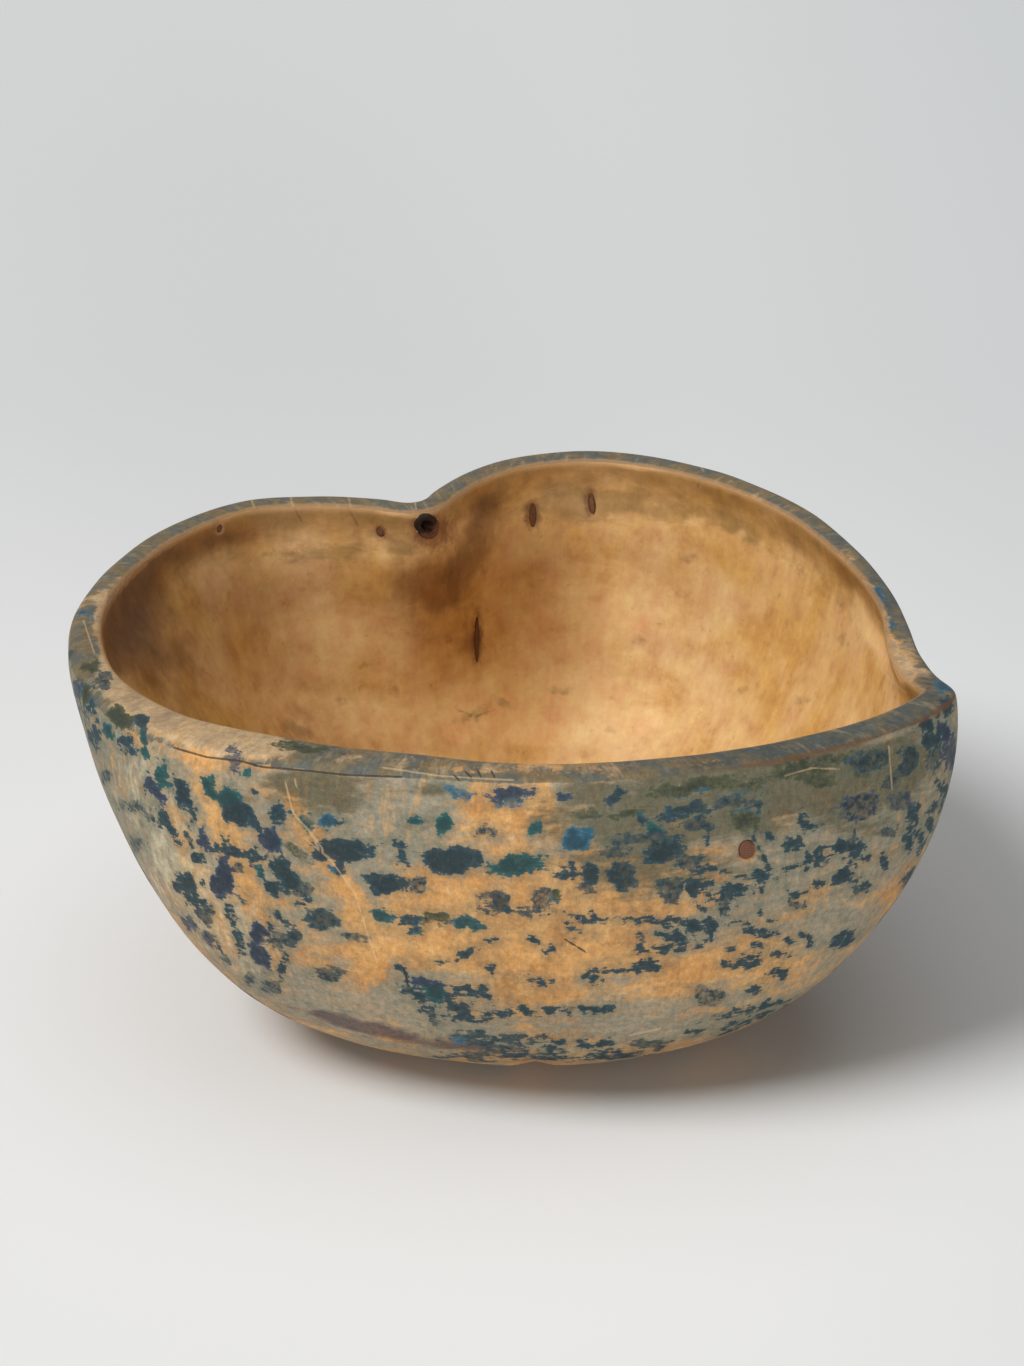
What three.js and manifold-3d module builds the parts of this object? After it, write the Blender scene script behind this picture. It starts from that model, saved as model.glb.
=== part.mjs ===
// Root bowl: a lobed bowl carved from one root burl, with the dead knots and pockets of bark
// that sit loose in its wood. Millimetres, +Z up, the middle of the flat foot at the origin,
// the side that shows the front crease facing -Y.
import * as THREE from 'three';
import { ParametricGeometry } from 'three/addons/geometries/ParametricGeometry.js';
import { mergeVertices } from 'three/addons/utils/BufferGeometryUtils.js';
import Module from 'manifold-3d';

// Bowl
const BOWL_LENGTH = 349;
const BOWL_WIDTH = 320;
const BOWL_HEIGHT = 158;
const FOOT_RADIUS = 68;
const FLOOR_THICKNESS = 15;
const FLOOR_RADIUS = 50;
const FLOOR_DISH = 1.2;

// Rim: its greatest width, at the front left, and the share of it left at sixteen compass points,
// anticlockwise from +X. Its outer edge is rounded over most at the front left too: shares at eight.
const RIM_WIDTH = 23.5;
const RIM_WIDTH_SHARES = [
  0.43, 0.5, 0.55, 0.58, 0.59, 0.56, 0.53, 0.56, 0.57, 0.76, 1, 0.85, 0.7, 0.665, 0.65, 0.62,
];
const RIM_OUTER_ROUND = 8;
const RIM_OUTER_ROUND_SHARES = [0.44, 0.44, 0.44, 0.44, 0.6, 1, 0.5, 0.44];
const RIM_INNER_ROUND = 3;

// Cove cut under the inner edge of the rim, which ends in a soft ledge
const COVE_HEIGHT = 26;
const COVE_DEPTH = 2;

// Fullness of the wall at six compass points: 1 is a straight cone, 2 an ellipse, more a square belly
const WALL_FULLNESS = [1.7, 2.1, 1.9, 1.25, 2.7, 3];
// Swell of the belly past the rim, and the share of it at the same points
const BELLY_SWELL = 2.7;
const BELLY_SWELL_SHARES = [1, 0, 0, -0.8, 0.75, 0.75];
// Turn of the ribs on their way down to the foot at eight compass points, in degrees
const RIB_LEANS = [0, -4, -8, -8, -4, 0, 0, 0];

// The clefts in the rim fill out on the way down: the length of rim on each side that is evened
// out, the share of the wall's height over which it happens, and how softly the filling starts
const CLEFT_FADE_LENGTH = 60;
const CLEFT_FADE_HEIGHT = 0.75;
const CLEFT_SOFTNESS = 4;
// The share of that evening out by which the corners of the outline draw in at the bottom
const CORNER_EASE = 0.5;
const FADE_SAMPLES = 4;

// Crease down the front, which ends in a notch in the base
const CREASE_X = 12;
const CREASE_HALF_WIDTH = 7;
const CREASE_DEPTH = 0.4;
const NOTCH_DEPTH = 3;
const NOTCH_HEIGHT = 8;
const NOTCH_SPREAD = 12;

// Rim outline from above, anticlockwise from the right, in shares of the half length and half
// width. The points stand close together at the right cleft, the back cleft and the front crease.
const RIM_OUTLINE = [
  [0.925, -0.294], [0.907, -0.04], [0.853, 0.25], [0.715, 0.615], [0.478, 0.888], [0.223, 1],
  [0.011, 0.956], [-0.12, 0.84], [-0.195, 0.72], [-0.225, 0.652], [-0.258, 0.636],
  [-0.32, 0.66], [-0.49, 0.682], [-0.675, 0.643], [-0.862, 0.443], [-0.984, 0.138],
  [-1.022, -0.163], [-0.966, -0.488], [-0.791, -0.763], [-0.516, -0.9], [-0.235, -0.963],
  [-0.02, -0.998], [0.063, -1], [0.145, -0.996], [0.395, -0.95], [0.63, -0.863],
  [0.86, -0.713], [0.974, -0.575], [0.986, -0.513], [0.951, -0.425],
];
// Steps in which the outline's length is measured between two of its points
const LENGTH_STEPS = 20;

// Facets: ribs between two points of the outline, and rows on each stretch of a rib
const RIBS_PER_POINT = 4;
const OUTER_ROWS = 11;
const INNER_ROWS = 9;
const COVE_ROWS = 3;
const ROUND_ROWS = 2;

// Clearance between the wood and what sits loose in it
const CLEARANCE = 0.3;

// Dead wood and bark in the wall. around: share of the way round the rim outline. down: depth
// under the rim. width, height and turn: its oval on the wall. into: how deep it goes, and dip:
// how far it points down on the way in. bore: its hollow, as a share of the oval.
const INLAYS = [
  { name: 'cleft_knot', wall: 'inner', around: 0.3145, down: 8.4, width: 9, height: 13.5,
    turn: 40, into: 40, dip: 20, bore: 0.68, color: 0x5e3420 },
  { name: 'side_knot', wall: 'outer', around: 0.815, down: 35.5, width: 6, height: 8,
    turn: 8, into: 9, dip: 0, bore: 0, color: 0x7a4a32 },
  { name: 'pin_knot_back', wall: 'inner', around: 0.357, down: 12, width: 3.4, height: 4,
    turn: 0, into: 6, dip: 0, bore: 0, color: 0x6b4426 },
  { name: 'pin_knot_left', wall: 'inner', around: 0.448, down: 5, width: 2.6, height: 3,
    turn: 0, into: 5, dip: 0, bore: 0, color: 0x6b3a20 },
  { name: 'ledge_bark_left', wall: 'inner', around: 0.198, down: 24, width: 2.8, height: 10,
    turn: -4, into: 3, dip: 0, bore: 0, color: 0x4a3022 },
  { name: 'ledge_bark_right', wall: 'inner', around: 0.169, down: 21.5, width: 2.4, height: 8.5,
    turn: 8, into: 3, dip: 0, bore: 0, color: 0x4a3022 },
  { name: 'cleft_bark_seam', wall: 'inner', around: 0.241, down: 71, width: 2, height: 20,
    turn: 0, into: 3, dip: 0, bore: 0, color: 0x4a3022 },
];
const OVAL_SIDES = 9;
// How far an oval cutter stands out of the wall, and how far a bore's runs on past its piece
const PROUD = 6;
const OVERRUN = 1;
// Steps along and down the wall over which its slope is read at an inlay
const SLOPE_SHARE = 0.002;
const SLOPE_DEPTH = 1;

const TAN_WOOD = 0xc2935a;

// Value at an angle of readings taken evenly round the compass, smoothly joined
function reading(values, angle) {
  const ring = values.map((value) => new THREE.Vector3(value, 0, 0));
  const curve = new THREE.CatmullRomCurve3(ring, true, 'catmullrom');
  return curve.getPoint(THREE.MathUtils.euclideanModulo(angle / (2 * Math.PI), 1)).x;
}

// The rim's outer edge as one smooth closed curve
const outline = new THREE.CatmullRomCurve3(
  RIM_OUTLINE.map(([x, y]) => new THREE.Vector3(x * BOWL_LENGTH / 2, y * BOWL_WIDTH / 2, 0)),
  true,
);

// Mean of the outline over a length of rim on both sides of a point, which evens out the clefts
const lengths = outline.getLengths(RIM_OUTLINE.length * LENGTH_STEPS);
const rimLength = lengths.at(-1);
function evenedRim(share) {
  const middle = lengths[Math.round(share * (lengths.length - 1))] / rimLength;
  const mean = new THREE.Vector3();
  for (let step = -FADE_SAMPLES; step <= FADE_SAMPLES; step++) {
    const along = middle + CLEFT_FADE_LENGTH / rimLength * step / FADE_SAMPLES;
    mean.add(outline.getPointAt(THREE.MathUtils.euclideanModulo(along, 1)));
  }
  return mean.divideScalar(2 * FADE_SAMPLES + 1);
}

const ribCount = RIM_OUTLINE.length * RIBS_PER_POINT;
const evenedOutline = new THREE.CatmullRomCurve3(
  Array.from({ length: ribCount }, (_, index) => evenedRim(index / ribCount)),
  true,
);

// Level direction that points into the wood, square to an anticlockwise outline
function inwardOf(curve, share) {
  const along = curve.getTangent(share);
  return new THREE.Vector3(-along.y, along.x, 0).normalize();
}

// One rib: its place on the rim, the way into the wood from there, and the way out to its foot
function ribAt(around) {
  const share = THREE.MathUtils.euclideanModulo(around, 1);
  const rim = outline.getPoint(share);
  const inward = inwardOf(outline, share);
  const evenedInward = inwardOf(evenedOutline, share);
  const outside = rim.clone().sub(evenedOutline.getPoint(share)).dot(evenedInward);
  const angle = Math.atan2(rim.y, rim.x);
  const lean = THREE.MathUtils.degToRad(reading(RIB_LEANS, angle));
  return {
    rim,
    inward,
    evenedInward,
    fill: (outside + Math.hypot(outside, CLEFT_SOFTNESS)) / 2,
    corner: Math.min(outside, 0),
    footward: new THREE.Vector3(Math.cos(angle + lean), Math.sin(angle + lean), 0),
    rimWidth: RIM_WIDTH * reading(RIM_WIDTH_SHARES, angle),
    outerRound: RIM_OUTER_ROUND * reading(RIM_OUTER_ROUND_SHARES, angle),
    fullness: reading(WALL_FULLNESS, angle),
    swell: BELLY_SWELL * reading(BELLY_SWELL_SHARES, angle),
  };
}

// Bell curve that is 1 in the middle and dies away past a distance of one
function bell(distance) {
  return Math.exp(-distance * distance);
}

// Point of a wall that falls from an inset rim line to a round floor
function wallPoint(rib, inset, depth, topDepth, fullDepth, floorRadius) {
  const share = Math.min((depth - topDepth) / (fullDepth - topDepth), 1);
  const spread = (1 - share ** rib.fullness) ** (1 / rib.fullness);
  const swell = rib.swell * Math.sin(Math.PI * Math.sqrt(share));
  const floor = rib.footward.clone().multiplyScalar(floorRadius);
  const faded = THREE.MathUtils.smoothstep(share, 0, CLEFT_FADE_HEIGHT);
  const inward = rib.inward.clone().lerp(rib.evenedInward, faded).normalize();
  const top = rib.rim.clone().addScaledVector(inward, inset);
  const eased = CORNER_EASE * THREE.MathUtils.smoothstep(share, 0, 1);
  top.addScaledVector(rib.evenedInward, -rib.fill * faded - rib.corner * eased);
  const point = floor.lerp(top, spread).addScaledVector(inward, -swell);
  point.z = BOWL_HEIGHT - depth;
  return point;
}

// Outside of the bowl at a depth under the rim, with the front crease and its notch
function outerPoint(rib, depth) {
  const point = wallPoint(rib, 0, depth, rib.outerRound, BOWL_HEIGHT, FOOT_RADIUS);
  const front = rib.rim.y < 0 ? bell((rib.rim.x - CREASE_X) / CREASE_HALF_WIDTH) : 0;
  const lift = (BOWL_HEIGHT - depth - NOTCH_HEIGHT) / NOTCH_SPREAD;
  const clearOfFoot = Math.min(point.z / NOTCH_HEIGHT, 1);
  point.addScaledVector(rib.inward, front * CREASE_DEPTH * clearOfFoot);
  point.z += front * NOTCH_DEPTH * bell(lift) * clearOfFoot;
  return point;
}

// Inside of the bowl at a depth under the rim, with the cove above its ledge
function innerPoint(rib, depth) {
  const floorDepth = BOWL_HEIGHT - FLOOR_THICKNESS;
  const coveShare = (depth - RIM_INNER_ROUND) / (COVE_HEIGHT - RIM_INNER_ROUND);
  const cove = coveShare < 1 ? COVE_DEPTH * Math.sin(Math.PI * coveShare) : 0;
  return wallPoint(rib, rib.rimWidth - cove, depth, RIM_INNER_ROUND, floorDepth, FLOOR_RADIUS);
}

// Point of the rim's top at an inset from the outline
function rimPoint(rib, inset, depth) {
  const point = rib.rim.clone().addScaledVector(rib.inward, inset);
  point.z = BOWL_HEIGHT - depth;
  return point;
}

// The bowl's section from the middle of the foot, up the outside, over the rim and down the
// hollow to the middle of the floor: each entry gives a rib's point there
function bowlSection() {
  const quarter = Math.PI / 2;
  const floorDepth = BOWL_HEIGHT - FLOOR_THICKNESS;
  const section = [() => new THREE.Vector3(0, 0, 0)];
  for (let row = OUTER_ROWS; row >= 0; row--) {
    const fall = Math.sin(quarter * row / OUTER_ROWS);
    section.push((rib) => outerPoint(rib, rib.outerRound + (BOWL_HEIGHT - rib.outerRound) * fall));
  }
  for (let row = 1; row <= ROUND_ROWS; row++) {
    const turn = quarter * row / ROUND_ROWS;
    const across = 1 - Math.cos(turn);
    const down = 1 - Math.sin(turn);
    section.push((rib) => rimPoint(rib, rib.outerRound * across, rib.outerRound * down));
  }
  for (let row = 0; row < ROUND_ROWS; row++) {
    const turn = quarter * row / ROUND_ROWS;
    const back = RIM_INNER_ROUND * (1 - Math.sin(turn));
    const depth = RIM_INNER_ROUND * (1 - Math.cos(turn));
    section.push((rib) => rimPoint(rib, rib.rimWidth - back, depth));
  }
  for (let row = 0; row < COVE_ROWS; row++) {
    const depth = RIM_INNER_ROUND + (COVE_HEIGHT - RIM_INNER_ROUND) * row / COVE_ROWS;
    section.push((rib) => innerPoint(rib, depth));
  }
  const ledge = Math.asin(COVE_HEIGHT / floorDepth);
  for (let row = 0; row <= INNER_ROWS; row++) {
    const depth = floorDepth * Math.sin(ledge + (quarter - ledge) * row / INNER_ROWS);
    section.push((rib) => innerPoint(rib, depth));
  }
  section.push(() => new THREE.Vector3(0, 0, FLOOR_THICKNESS - FLOOR_DISH));
  return section;
}

// The carved bowl before its knots and bark are cut out of it: the section carried round the rim
function bowlBlank() {
  const ribs = Array.from({ length: ribCount }, (_, index) => ribAt(index / ribCount));
  const section = bowlSection();
  const rows = section.length - 1;
  const skin = (around, along, target) => {
    const rib = ribs[Math.round(around * ribCount) % ribCount];
    target.copy(section[Math.round(along * rows)](rib));
  };
  return new ParametricGeometry(skin, ribCount, rows);
}

const wasm = await Module();
wasm.setup();

// Closed solid of a geometry whose faces are given as triangles
function solidOf(geometry) {
  const bare = geometry.clone();
  bare.deleteAttribute('normal');
  bare.deleteAttribute('uv');
  const merged = mergeVertices(bare);
  const faces = [];
  for (let start = 0; start < merged.index.count; start += 3) {
    const [a, b, c] = merged.index.array.subarray(start, start + 3);
    if (a !== b && b !== c && c !== a) faces.push(a, b, c);
  }
  const vertProperties = new Float32Array(merged.attributes.position.array);
  const triVerts = new Uint32Array(faces);
  return new wasm.Manifold(new wasm.Mesh({ numProp: 3, vertProperties, triVerts }));
}

// Named piece of the bowl, in its wood's colour
function meshOf(name, solid, color) {
  const { vertProperties, triVerts } = solid.getMesh();
  const geometry = new THREE.BufferGeometry();
  geometry.setAttribute('position', new THREE.BufferAttribute(vertProperties, 3));
  geometry.setIndex(new THREE.BufferAttribute(triVerts, 1));
  geometry.computeVertexNormals();
  const material = new THREE.MeshStandardMaterial({ color, roughness: 0.6, metalness: 0 });
  const mesh = new THREE.Mesh(geometry, material);
  mesh.name = name;
  return mesh;
}

// Frame on a wall of the bowl: x along the wall, y up it and z out of the wood
function wallFrame({ wall, around, down, dip }) {
  const pointAt = (share, depth) => {
    const rib = ribAt(share);
    return wall === 'outer' ? outerPoint(rib, depth) : innerPoint(rib, depth);
  };
  const place = pointAt(around, down);
  const up = pointAt(around, down - SLOPE_DEPTH).sub(pointAt(around, down + SLOPE_DEPTH)).normalize();
  const along = pointAt(around + SLOPE_SHARE, down).sub(pointAt(around - SLOPE_SHARE, down));
  if (wall === 'inner') along.negate();
  const out = along.cross(up).normalize();
  const frame = new THREE.Matrix4().makeBasis(up.clone().cross(out), up, out);
  const dipped = new THREE.Matrix4().makeRotationX(THREE.MathUtils.degToRad(-dip));
  return frame.multiply(dipped).setPosition(place);
}

// Oval prism that goes into the wall at an inlay's place, larger all round by a margin
function ovalPrism(inlay, margin, share = 1) {
  const { width, height, turn, into } = inlay;
  const shape = new THREE.Shape();
  const halfWidth = width * share / 2 + margin;
  const halfHeight = height * share / 2 + margin;
  const tilt = THREE.MathUtils.degToRad(turn);
  shape.absellipse(0, 0, halfWidth, halfHeight, 0, 2 * Math.PI, false, tilt);
  const depth = into + margin + PROUD;
  const options = { depth, bevelEnabled: false, curveSegments: OVAL_SIDES };
  const prism = new THREE.ExtrudeGeometry(shape, options).translate(0, 0, PROUD - depth);
  return solidOf(prism.applyMatrix4(wallFrame(inlay)));
}

const blank = solidOf(bowlBlank());
const bowl = new THREE.Group();
let wood = blank;
for (const inlay of INLAYS) {
  let piece = blank.intersect(ovalPrism(inlay, 0));
  if (inlay.bore > 0) {
    const hollow = { ...inlay, into: inlay.into + OVERRUN };
    piece = piece.subtract(ovalPrism(hollow, 0, inlay.bore));
  }
  wood = wood.subtract(ovalPrism(inlay, CLEARANCE));
  bowl.add(meshOf(inlay.name, piece, inlay.color));
}
bowl.add(meshOf('bowl', wood, TAN_WOOD));

export default bowl;
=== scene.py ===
import math

import bmesh
import bpy
import numpy as np
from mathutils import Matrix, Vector, kdtree, noise


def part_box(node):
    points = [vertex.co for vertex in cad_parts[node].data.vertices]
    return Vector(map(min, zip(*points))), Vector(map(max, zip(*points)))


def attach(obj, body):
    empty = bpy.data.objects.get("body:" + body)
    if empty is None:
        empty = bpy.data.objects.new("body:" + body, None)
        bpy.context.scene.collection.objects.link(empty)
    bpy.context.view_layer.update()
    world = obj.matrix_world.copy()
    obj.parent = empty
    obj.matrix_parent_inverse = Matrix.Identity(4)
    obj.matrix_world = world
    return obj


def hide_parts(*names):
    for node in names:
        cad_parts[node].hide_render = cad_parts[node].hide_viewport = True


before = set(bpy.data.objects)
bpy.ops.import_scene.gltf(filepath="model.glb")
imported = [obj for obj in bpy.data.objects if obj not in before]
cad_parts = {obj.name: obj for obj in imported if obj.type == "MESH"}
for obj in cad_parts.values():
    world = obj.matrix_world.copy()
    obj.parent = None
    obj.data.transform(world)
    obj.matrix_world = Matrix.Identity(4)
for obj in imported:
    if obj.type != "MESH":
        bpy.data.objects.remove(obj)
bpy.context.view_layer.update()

bl_info = {
    "name": "Root Bowl",
    "version": (1, 0, 0),
    "blender": (4, 5, 0),
    "location": "View3D > Sidebar > Root Bowl",
    "description": "Dresses a bowl carved from a root burl, with its knots and bark, on a pale studio floor",
    "category": "Object",
}

MM = 0.001
WELD = 1e-6

# The camera of the photograph, solved from the outlines of the rim and of the foot.
PHOTO_WIDE = 1024
PHOTO_HIGH = 1366
LENS = 100
SENSOR = 36
CAMERA_TILT = math.radians(26)
CAMERA_AIM = 0.11986
CAMERA_AWAY = 1.55634
CAMERA_PLACE = (0, -CAMERA_AWAY * math.cos(CAMERA_TILT), CAMERA_AIM + CAMERA_AWAY * math.sin(CAMERA_TILT))
FOCAL_PIXELS = LENS / SENSOR * PHOTO_HIGH

# Pigments left on the wood, as places along the shader's colour ramp.
DARK = 0.0
INDIGO = 0.25
TEAL = 0.5
BLUE = 0.75
GREEN = 1.0

# Dabs of pigment on the outside and the rim, read from the photograph. Each has its centre
# (across, down), width and height in photo pixels, and where they aren't 0, its clockwise tilt in degrees
# and its wear up to 1.
DABS = {
    DARK: (
        (91, 710, 6, 10), (97, 710, 4, 12), (80, 713, 8, 14, 0, .6), (140, 723, 14, 16),
        (92, 735, 9, 16, -20), (99, 742, 4, 8), (126, 742, 5, 10), (129, 753, 4, 4),
        (106, 778, 8, 10, 0, .7), (146, 790, 3, 5), (182, 793, 13, 30, -20), (189, 815, 2, 10),
        (237, 812, 22, 20), (256, 766, 5, 5), (253, 824, 10, 3, 50), (253, 792, 4, 4), (192, 843, 6, 9),
        (218, 849, 9, 9), (229, 841, 6, 8), (235, 850, 18, 12), (249, 852, 10, 10),
        (238, 871, 8, 10, 0, .5), (198, 859, 10, 9), (131, 806, 20, 6, 10, .7), (148, 815, 8, 12, 0, .7),
        (155, 821, 8, 8), (165, 819, 10, 18, -30), (174, 833, 5, 16, -25), (186, 884, 10, 20, -25),
        (178, 883, 6, 10), (200, 885, 6, 5), (136, 846, 12, 10, 50, .7), (277, 812, 11, 14),
        (283, 818, 6, 8), (342, 821, 12, 8), (342, 851, 60, 22), (341, 872, 9, 6), (286, 875, 18, 32, -20),
        (276, 868, 12, 10), (274, 890, 14, 14), (255, 860, 9, 3), (254, 864, 9, 3),
        (301, 888, 28, 10, 0, .5), (306, 901, 9, 5), (307, 906, 5, 3), (324, 920, 30, 15, 0, .2),
        (205, 913, 18, 12, 30, .3), (199, 903, 8, 6), (189, 895, 9, 12), (218, 949, 3, 4),
        (232, 912, 6, 14, -15), (238, 938, 5, 22, -15), (291, 937, 16, 16, 0, .2),
        (277, 941, 14, 14, 0, .6), (284, 920, 3, 12, -50), (270, 928, 7, 6), (285, 957, 5, 5),
        (285, 967, 7, 10), (329, 972, 28, 12, 0, .4), (354, 937, 14, 6, 0, .5), (249, 980, 8, 8, 0, .7),
        (273, 986, 20, 12, 0, .7), (224, 959, 14, 8, 0, .7), (244, 899, 5, 6, 0, .5),
        (616, 796, 15, 9, -35), (487, 832, 14, 8, 0, .6), (641, 820, 6, 5), (397, 844, 20, 8),
        (402, 853, 4, 12), (451, 859, 58, 27), (566, 876, 26, 9), (590, 874, 22, 24),
        (586, 890, 12, 6, 0, .5), (571, 865, 6, 6), (624, 875, 29, 24, 0, .25), (615, 851, 24, 12, 0, .4),
        (387, 883, 40, 22), (416, 885, 18, 14, 0, .6), (500, 901, 20, 24, 0, .2), (515, 911, 50, 6, 0, .2),
        (540, 900, 20, 20, 0, .6), (486, 899, 10, 8, 0, .5), (411, 922, 22, 8), (415, 929, 14, 5),
        (590, 921, 28, 6), (595, 912, 5, 5), (570, 926, 3, 3), (531, 938, 8, 5, 30), (548, 952, 5, 4),
        (552, 946, 4, 2), (491, 942, 6, 3), (467, 953, 19, 9, -5), (434, 963, 6, 2), (401, 969, 9, 7),
        (406, 975, 3, 12), (403, 984, 6, 6, 0, .6), (491, 967, 5, 4), (491, 972, 9, 5),
        (418, 997, 16, 8, 20), (409, 989, 10, 3), (420, 993, 8, 3), (449, 999, 8, 4), (456, 994, 20, 3),
        (472, 991, 22, 4, 12), (482, 989, 7, 3), (488, 998, 6, 9), (478, 995, 14, 3), (426, 1009, 12, 6),
        (433, 1014, 6, 14, -40, .5), (460, 1008, 20, 7, 20), (459, 1015, 22, 7, 5), (474, 1021, 13, 3),
        (494, 1016, 12, 4), (507, 1012, 9, 2), (525, 1011, 12, 4, 38), (534, 980, 17, 6, 12),
        (541, 984, 8, 3), (550, 1015, 11, 6), (558, 1010, 12, 3), (591, 979, 14, 7, 25), (594, 970, 5, 5),
        (612, 971, 20, 4, -6), (644, 967, 20, 8, -8), (599, 1009, 24, 8, -5), (572, 1013, 6, 8, 0, .7),
        (492, 1037, 28, 2, 0, .2), (514, 1037, 20, 2, 0, .2), (502, 1043, 30, 2, 0, .2), (521, 1043, 7, 8),
        (502, 1049, 30, 4, 0, .5), (483, 1056, 50, 5, 0, .4), (514, 1055, 24, 6), (442, 1057, 10, 2),
        (553, 1049, 14, 6), (557, 1044, 6, 2), (602, 1044, 16, 7, -15), (586, 1046, 6, 2),
        (651, 1045, 22, 6, 0, .4), (626, 1053, 20, 4, -5), (613, 1061, 12, 2), (627, 1059, 12, 3),
        (551, 1057, 20, 3), (600, 1057, 12, 2), (689, 810, 50, 10, -12), (696, 825, 30, 12, 0, .5),
        (665, 850, 48, 22, -15), (705, 838, 4, 6), (750, 836, 7, 6), (759, 805, 9, 7), (772, 836, 10, 8),
        (790, 846, 10, 14, 20), (798, 844, 4, 9), (757, 859, 5, 5, 0, .6), (765, 860, 2, 12, -30),
        (709, 870, 26, 7), (701, 863, 5, 10), (770, 873, 34, 2, -12), (671, 886, 24, 14, 0, .4),
        (670, 897, 22, 8, 0, .3), (695, 888, 14, 18), (703, 881, 18, 8), (697, 890, 16, 10),
        (713, 895, 8, 8), (733, 891, 20, 9), (723, 895, 6, 6), (735, 898, 10, 4), (727, 905, 11, 12, 0, .5),
        (760, 889, 14, 5), (801, 892, 16, 6), (796, 904, 8, 5, 0, .6), (705, 909, 5, 3), (758, 910, 2, 2),
        (680, 922, 20, 7), (696, 925, 24, 10), (715, 925, 13, 15), (709, 936, 8, 8), (680, 937, 14, 10),
        (669, 936, 28, 5), (666, 948, 28, 4, -8), (701, 943, 6, 3), (638, 938, 6, 8, 0, .5),
        (636, 951, 5, 4), (667, 921, 44, 2), (750, 931, 10, 5), (764, 934, 20, 7, 5), (771, 932, 6, 5),
        (768, 919, 6, 4), (776, 920, 4, 4), (792, 941, 9, 8, -30), (801, 939, 6, 4), (808, 942, 4, 3),
        (760, 945, 5, 5), (727, 947, 6, 4), (778, 955, 12, 4), (727, 967, 11, 6), (749, 964, 14, 4, -10),
        (753, 958, 8, 3), (780, 975, 12, 6), (708, 995, 8, 5), (708, 995, 24, 16, 0, .8), (752, 990, 10, 4),
        (758, 1008, 36, 3, -12), (755, 1019, 30, 3, -15), (727, 1035, 16, 3, -25), (695, 1030, 9, 4, -20),
        (803, 822, 5, 12), (814, 824, 12, 6), (821, 851, 12, 6), (817, 859, 12, 5), (807, 859, 4, 5),
        (845, 847, 26, 13, -25), (853, 838, 6, 6, 0, .4), (851, 861, 6, 6), (863, 856, 10, 4, -25),
        (842, 878, 22, 13, -20), (821, 884, 9, 9), (855, 887, 8, 8, 0, .4), (865, 885, 4, 8),
        (843, 939, 22, 8, -25), (884, 859, 4, 8), (890, 829, 14, 10, 0, .5), (915, 815, 7, 18, 20),
        (909, 839, 6, 20, 25), (920, 840, 6, 16), (932, 827, 10, 10), (937, 808, 6, 20, 25),
        (943, 789, 8, 12), (910, 878, 10, 22, 30), (928, 725, 18, 12), (948, 708, 16, 20),
        (933, 740, 12, 14), (909, 761, 20, 30, 0, .3), (937, 757, 14, 28, 0, .6), (103, 680, 18, 12, 0, .3),
        (66, 662, 12, 26, 0, .3), (868, 760, 42, 20, -20, .5), (893, 777, 28, 16, -30, .7),
        (640, 838, 50, 10, -8, .7), (690, 862, 30, 8, -10, .6), (724, 802, 50, 8, -8, .5),
    ),
    INDIGO: (
        (75, 691, 6, 16, 0, .3), (157, 791, 9, 26, -25), (233, 760, 11, 22, 0, .4), (205, 840, 9, 22, -18),
        (222, 880, 19, 34), (269, 840, 21, 25, -20), (189, 922, 6, 17, -28, .3), (207, 938, 8, 13, -32, .3),
        (258, 933, 14, 22, -15), (257, 953, 12, 20, -28), (266, 958, 7, 19, -10), (510, 794, 38, 11, 3),
        (565, 797, 12, 8), (944, 733, 12, 16), (952, 753, 8, 28, 0, .3), (859, 808, 40, 30, 0, .8),
        (901, 802, 18, 14, 0, .7), (429, 983, 30, 12),
    ),
    TEAL: (
        (110, 733, 14, 10, 40), (139, 737, 8, 14, -20), (143, 751, 8, 12, -40), (163, 774, 8, 22, -20),
        (211, 783, 14, 13), (215, 796, 18, 10, 20), (229, 800, 20, 26, -35), (248, 774, 8, 8),
        (295, 816, 8, 6), (309, 821, 7, 16, 0, .5), (260, 875, 12, 10, 25), (417, 822, 12, 9),
        (442, 824, 19, 17, -15), (536, 830, 14, 15), (653, 827, 16, 12), (518, 865, 58, 19, -6),
        (386, 916, 26, 11, 20), (470, 925, 28, 10, 5), (436, 992, 18, 22), (671, 811, 9, 6),
    ),
    BLUE: (
        (327, 820, 20, 18), (333, 869, 5, 5), (453, 788, 12, 6, 0, .4), (464, 795, 12, 12, 0, .4),
        (512, 803, 20, 6, 0, .5), (573, 839, 30, 18, -30), (460, 1043, 18, 6, 0, .3), (877, 595, 12, 16),
        (892, 622, 6, 7), (946, 685, 22, 14, 0, .2), (85, 615, 18, 7, 0, .6),
    ),
    GREEN: (
        (88, 693, 12, 18, -15), (120, 716, 24, 18, 30), (297, 852, 24, 10, 35, .6),
        (588, 814, 28, 8, 0, .5), (630, 815, 28, 9, -5), (556, 897, 12, 10), (437, 917, 26, 8, 8),
        (431, 923, 40, 4, 0, .6), (583, 936, 12, 4, 0, .6), (418, 931, 10, 4), (692, 786, 84, 14, -8, .3),
        (747, 819, 28, 18, 0, .5), (800, 771, 52, 14, -10, .3), (748, 786, 40, 8, -8, .6),
        (818, 761, 76, 14, -6, .6), (814, 779, 38, 12, 0, .4), (862, 771, 20, 10, 0, .6),
        (91, 666, 16, 14, 0, .3), (300, 748, 44, 8, 3, .2),
    ),
}
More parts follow.
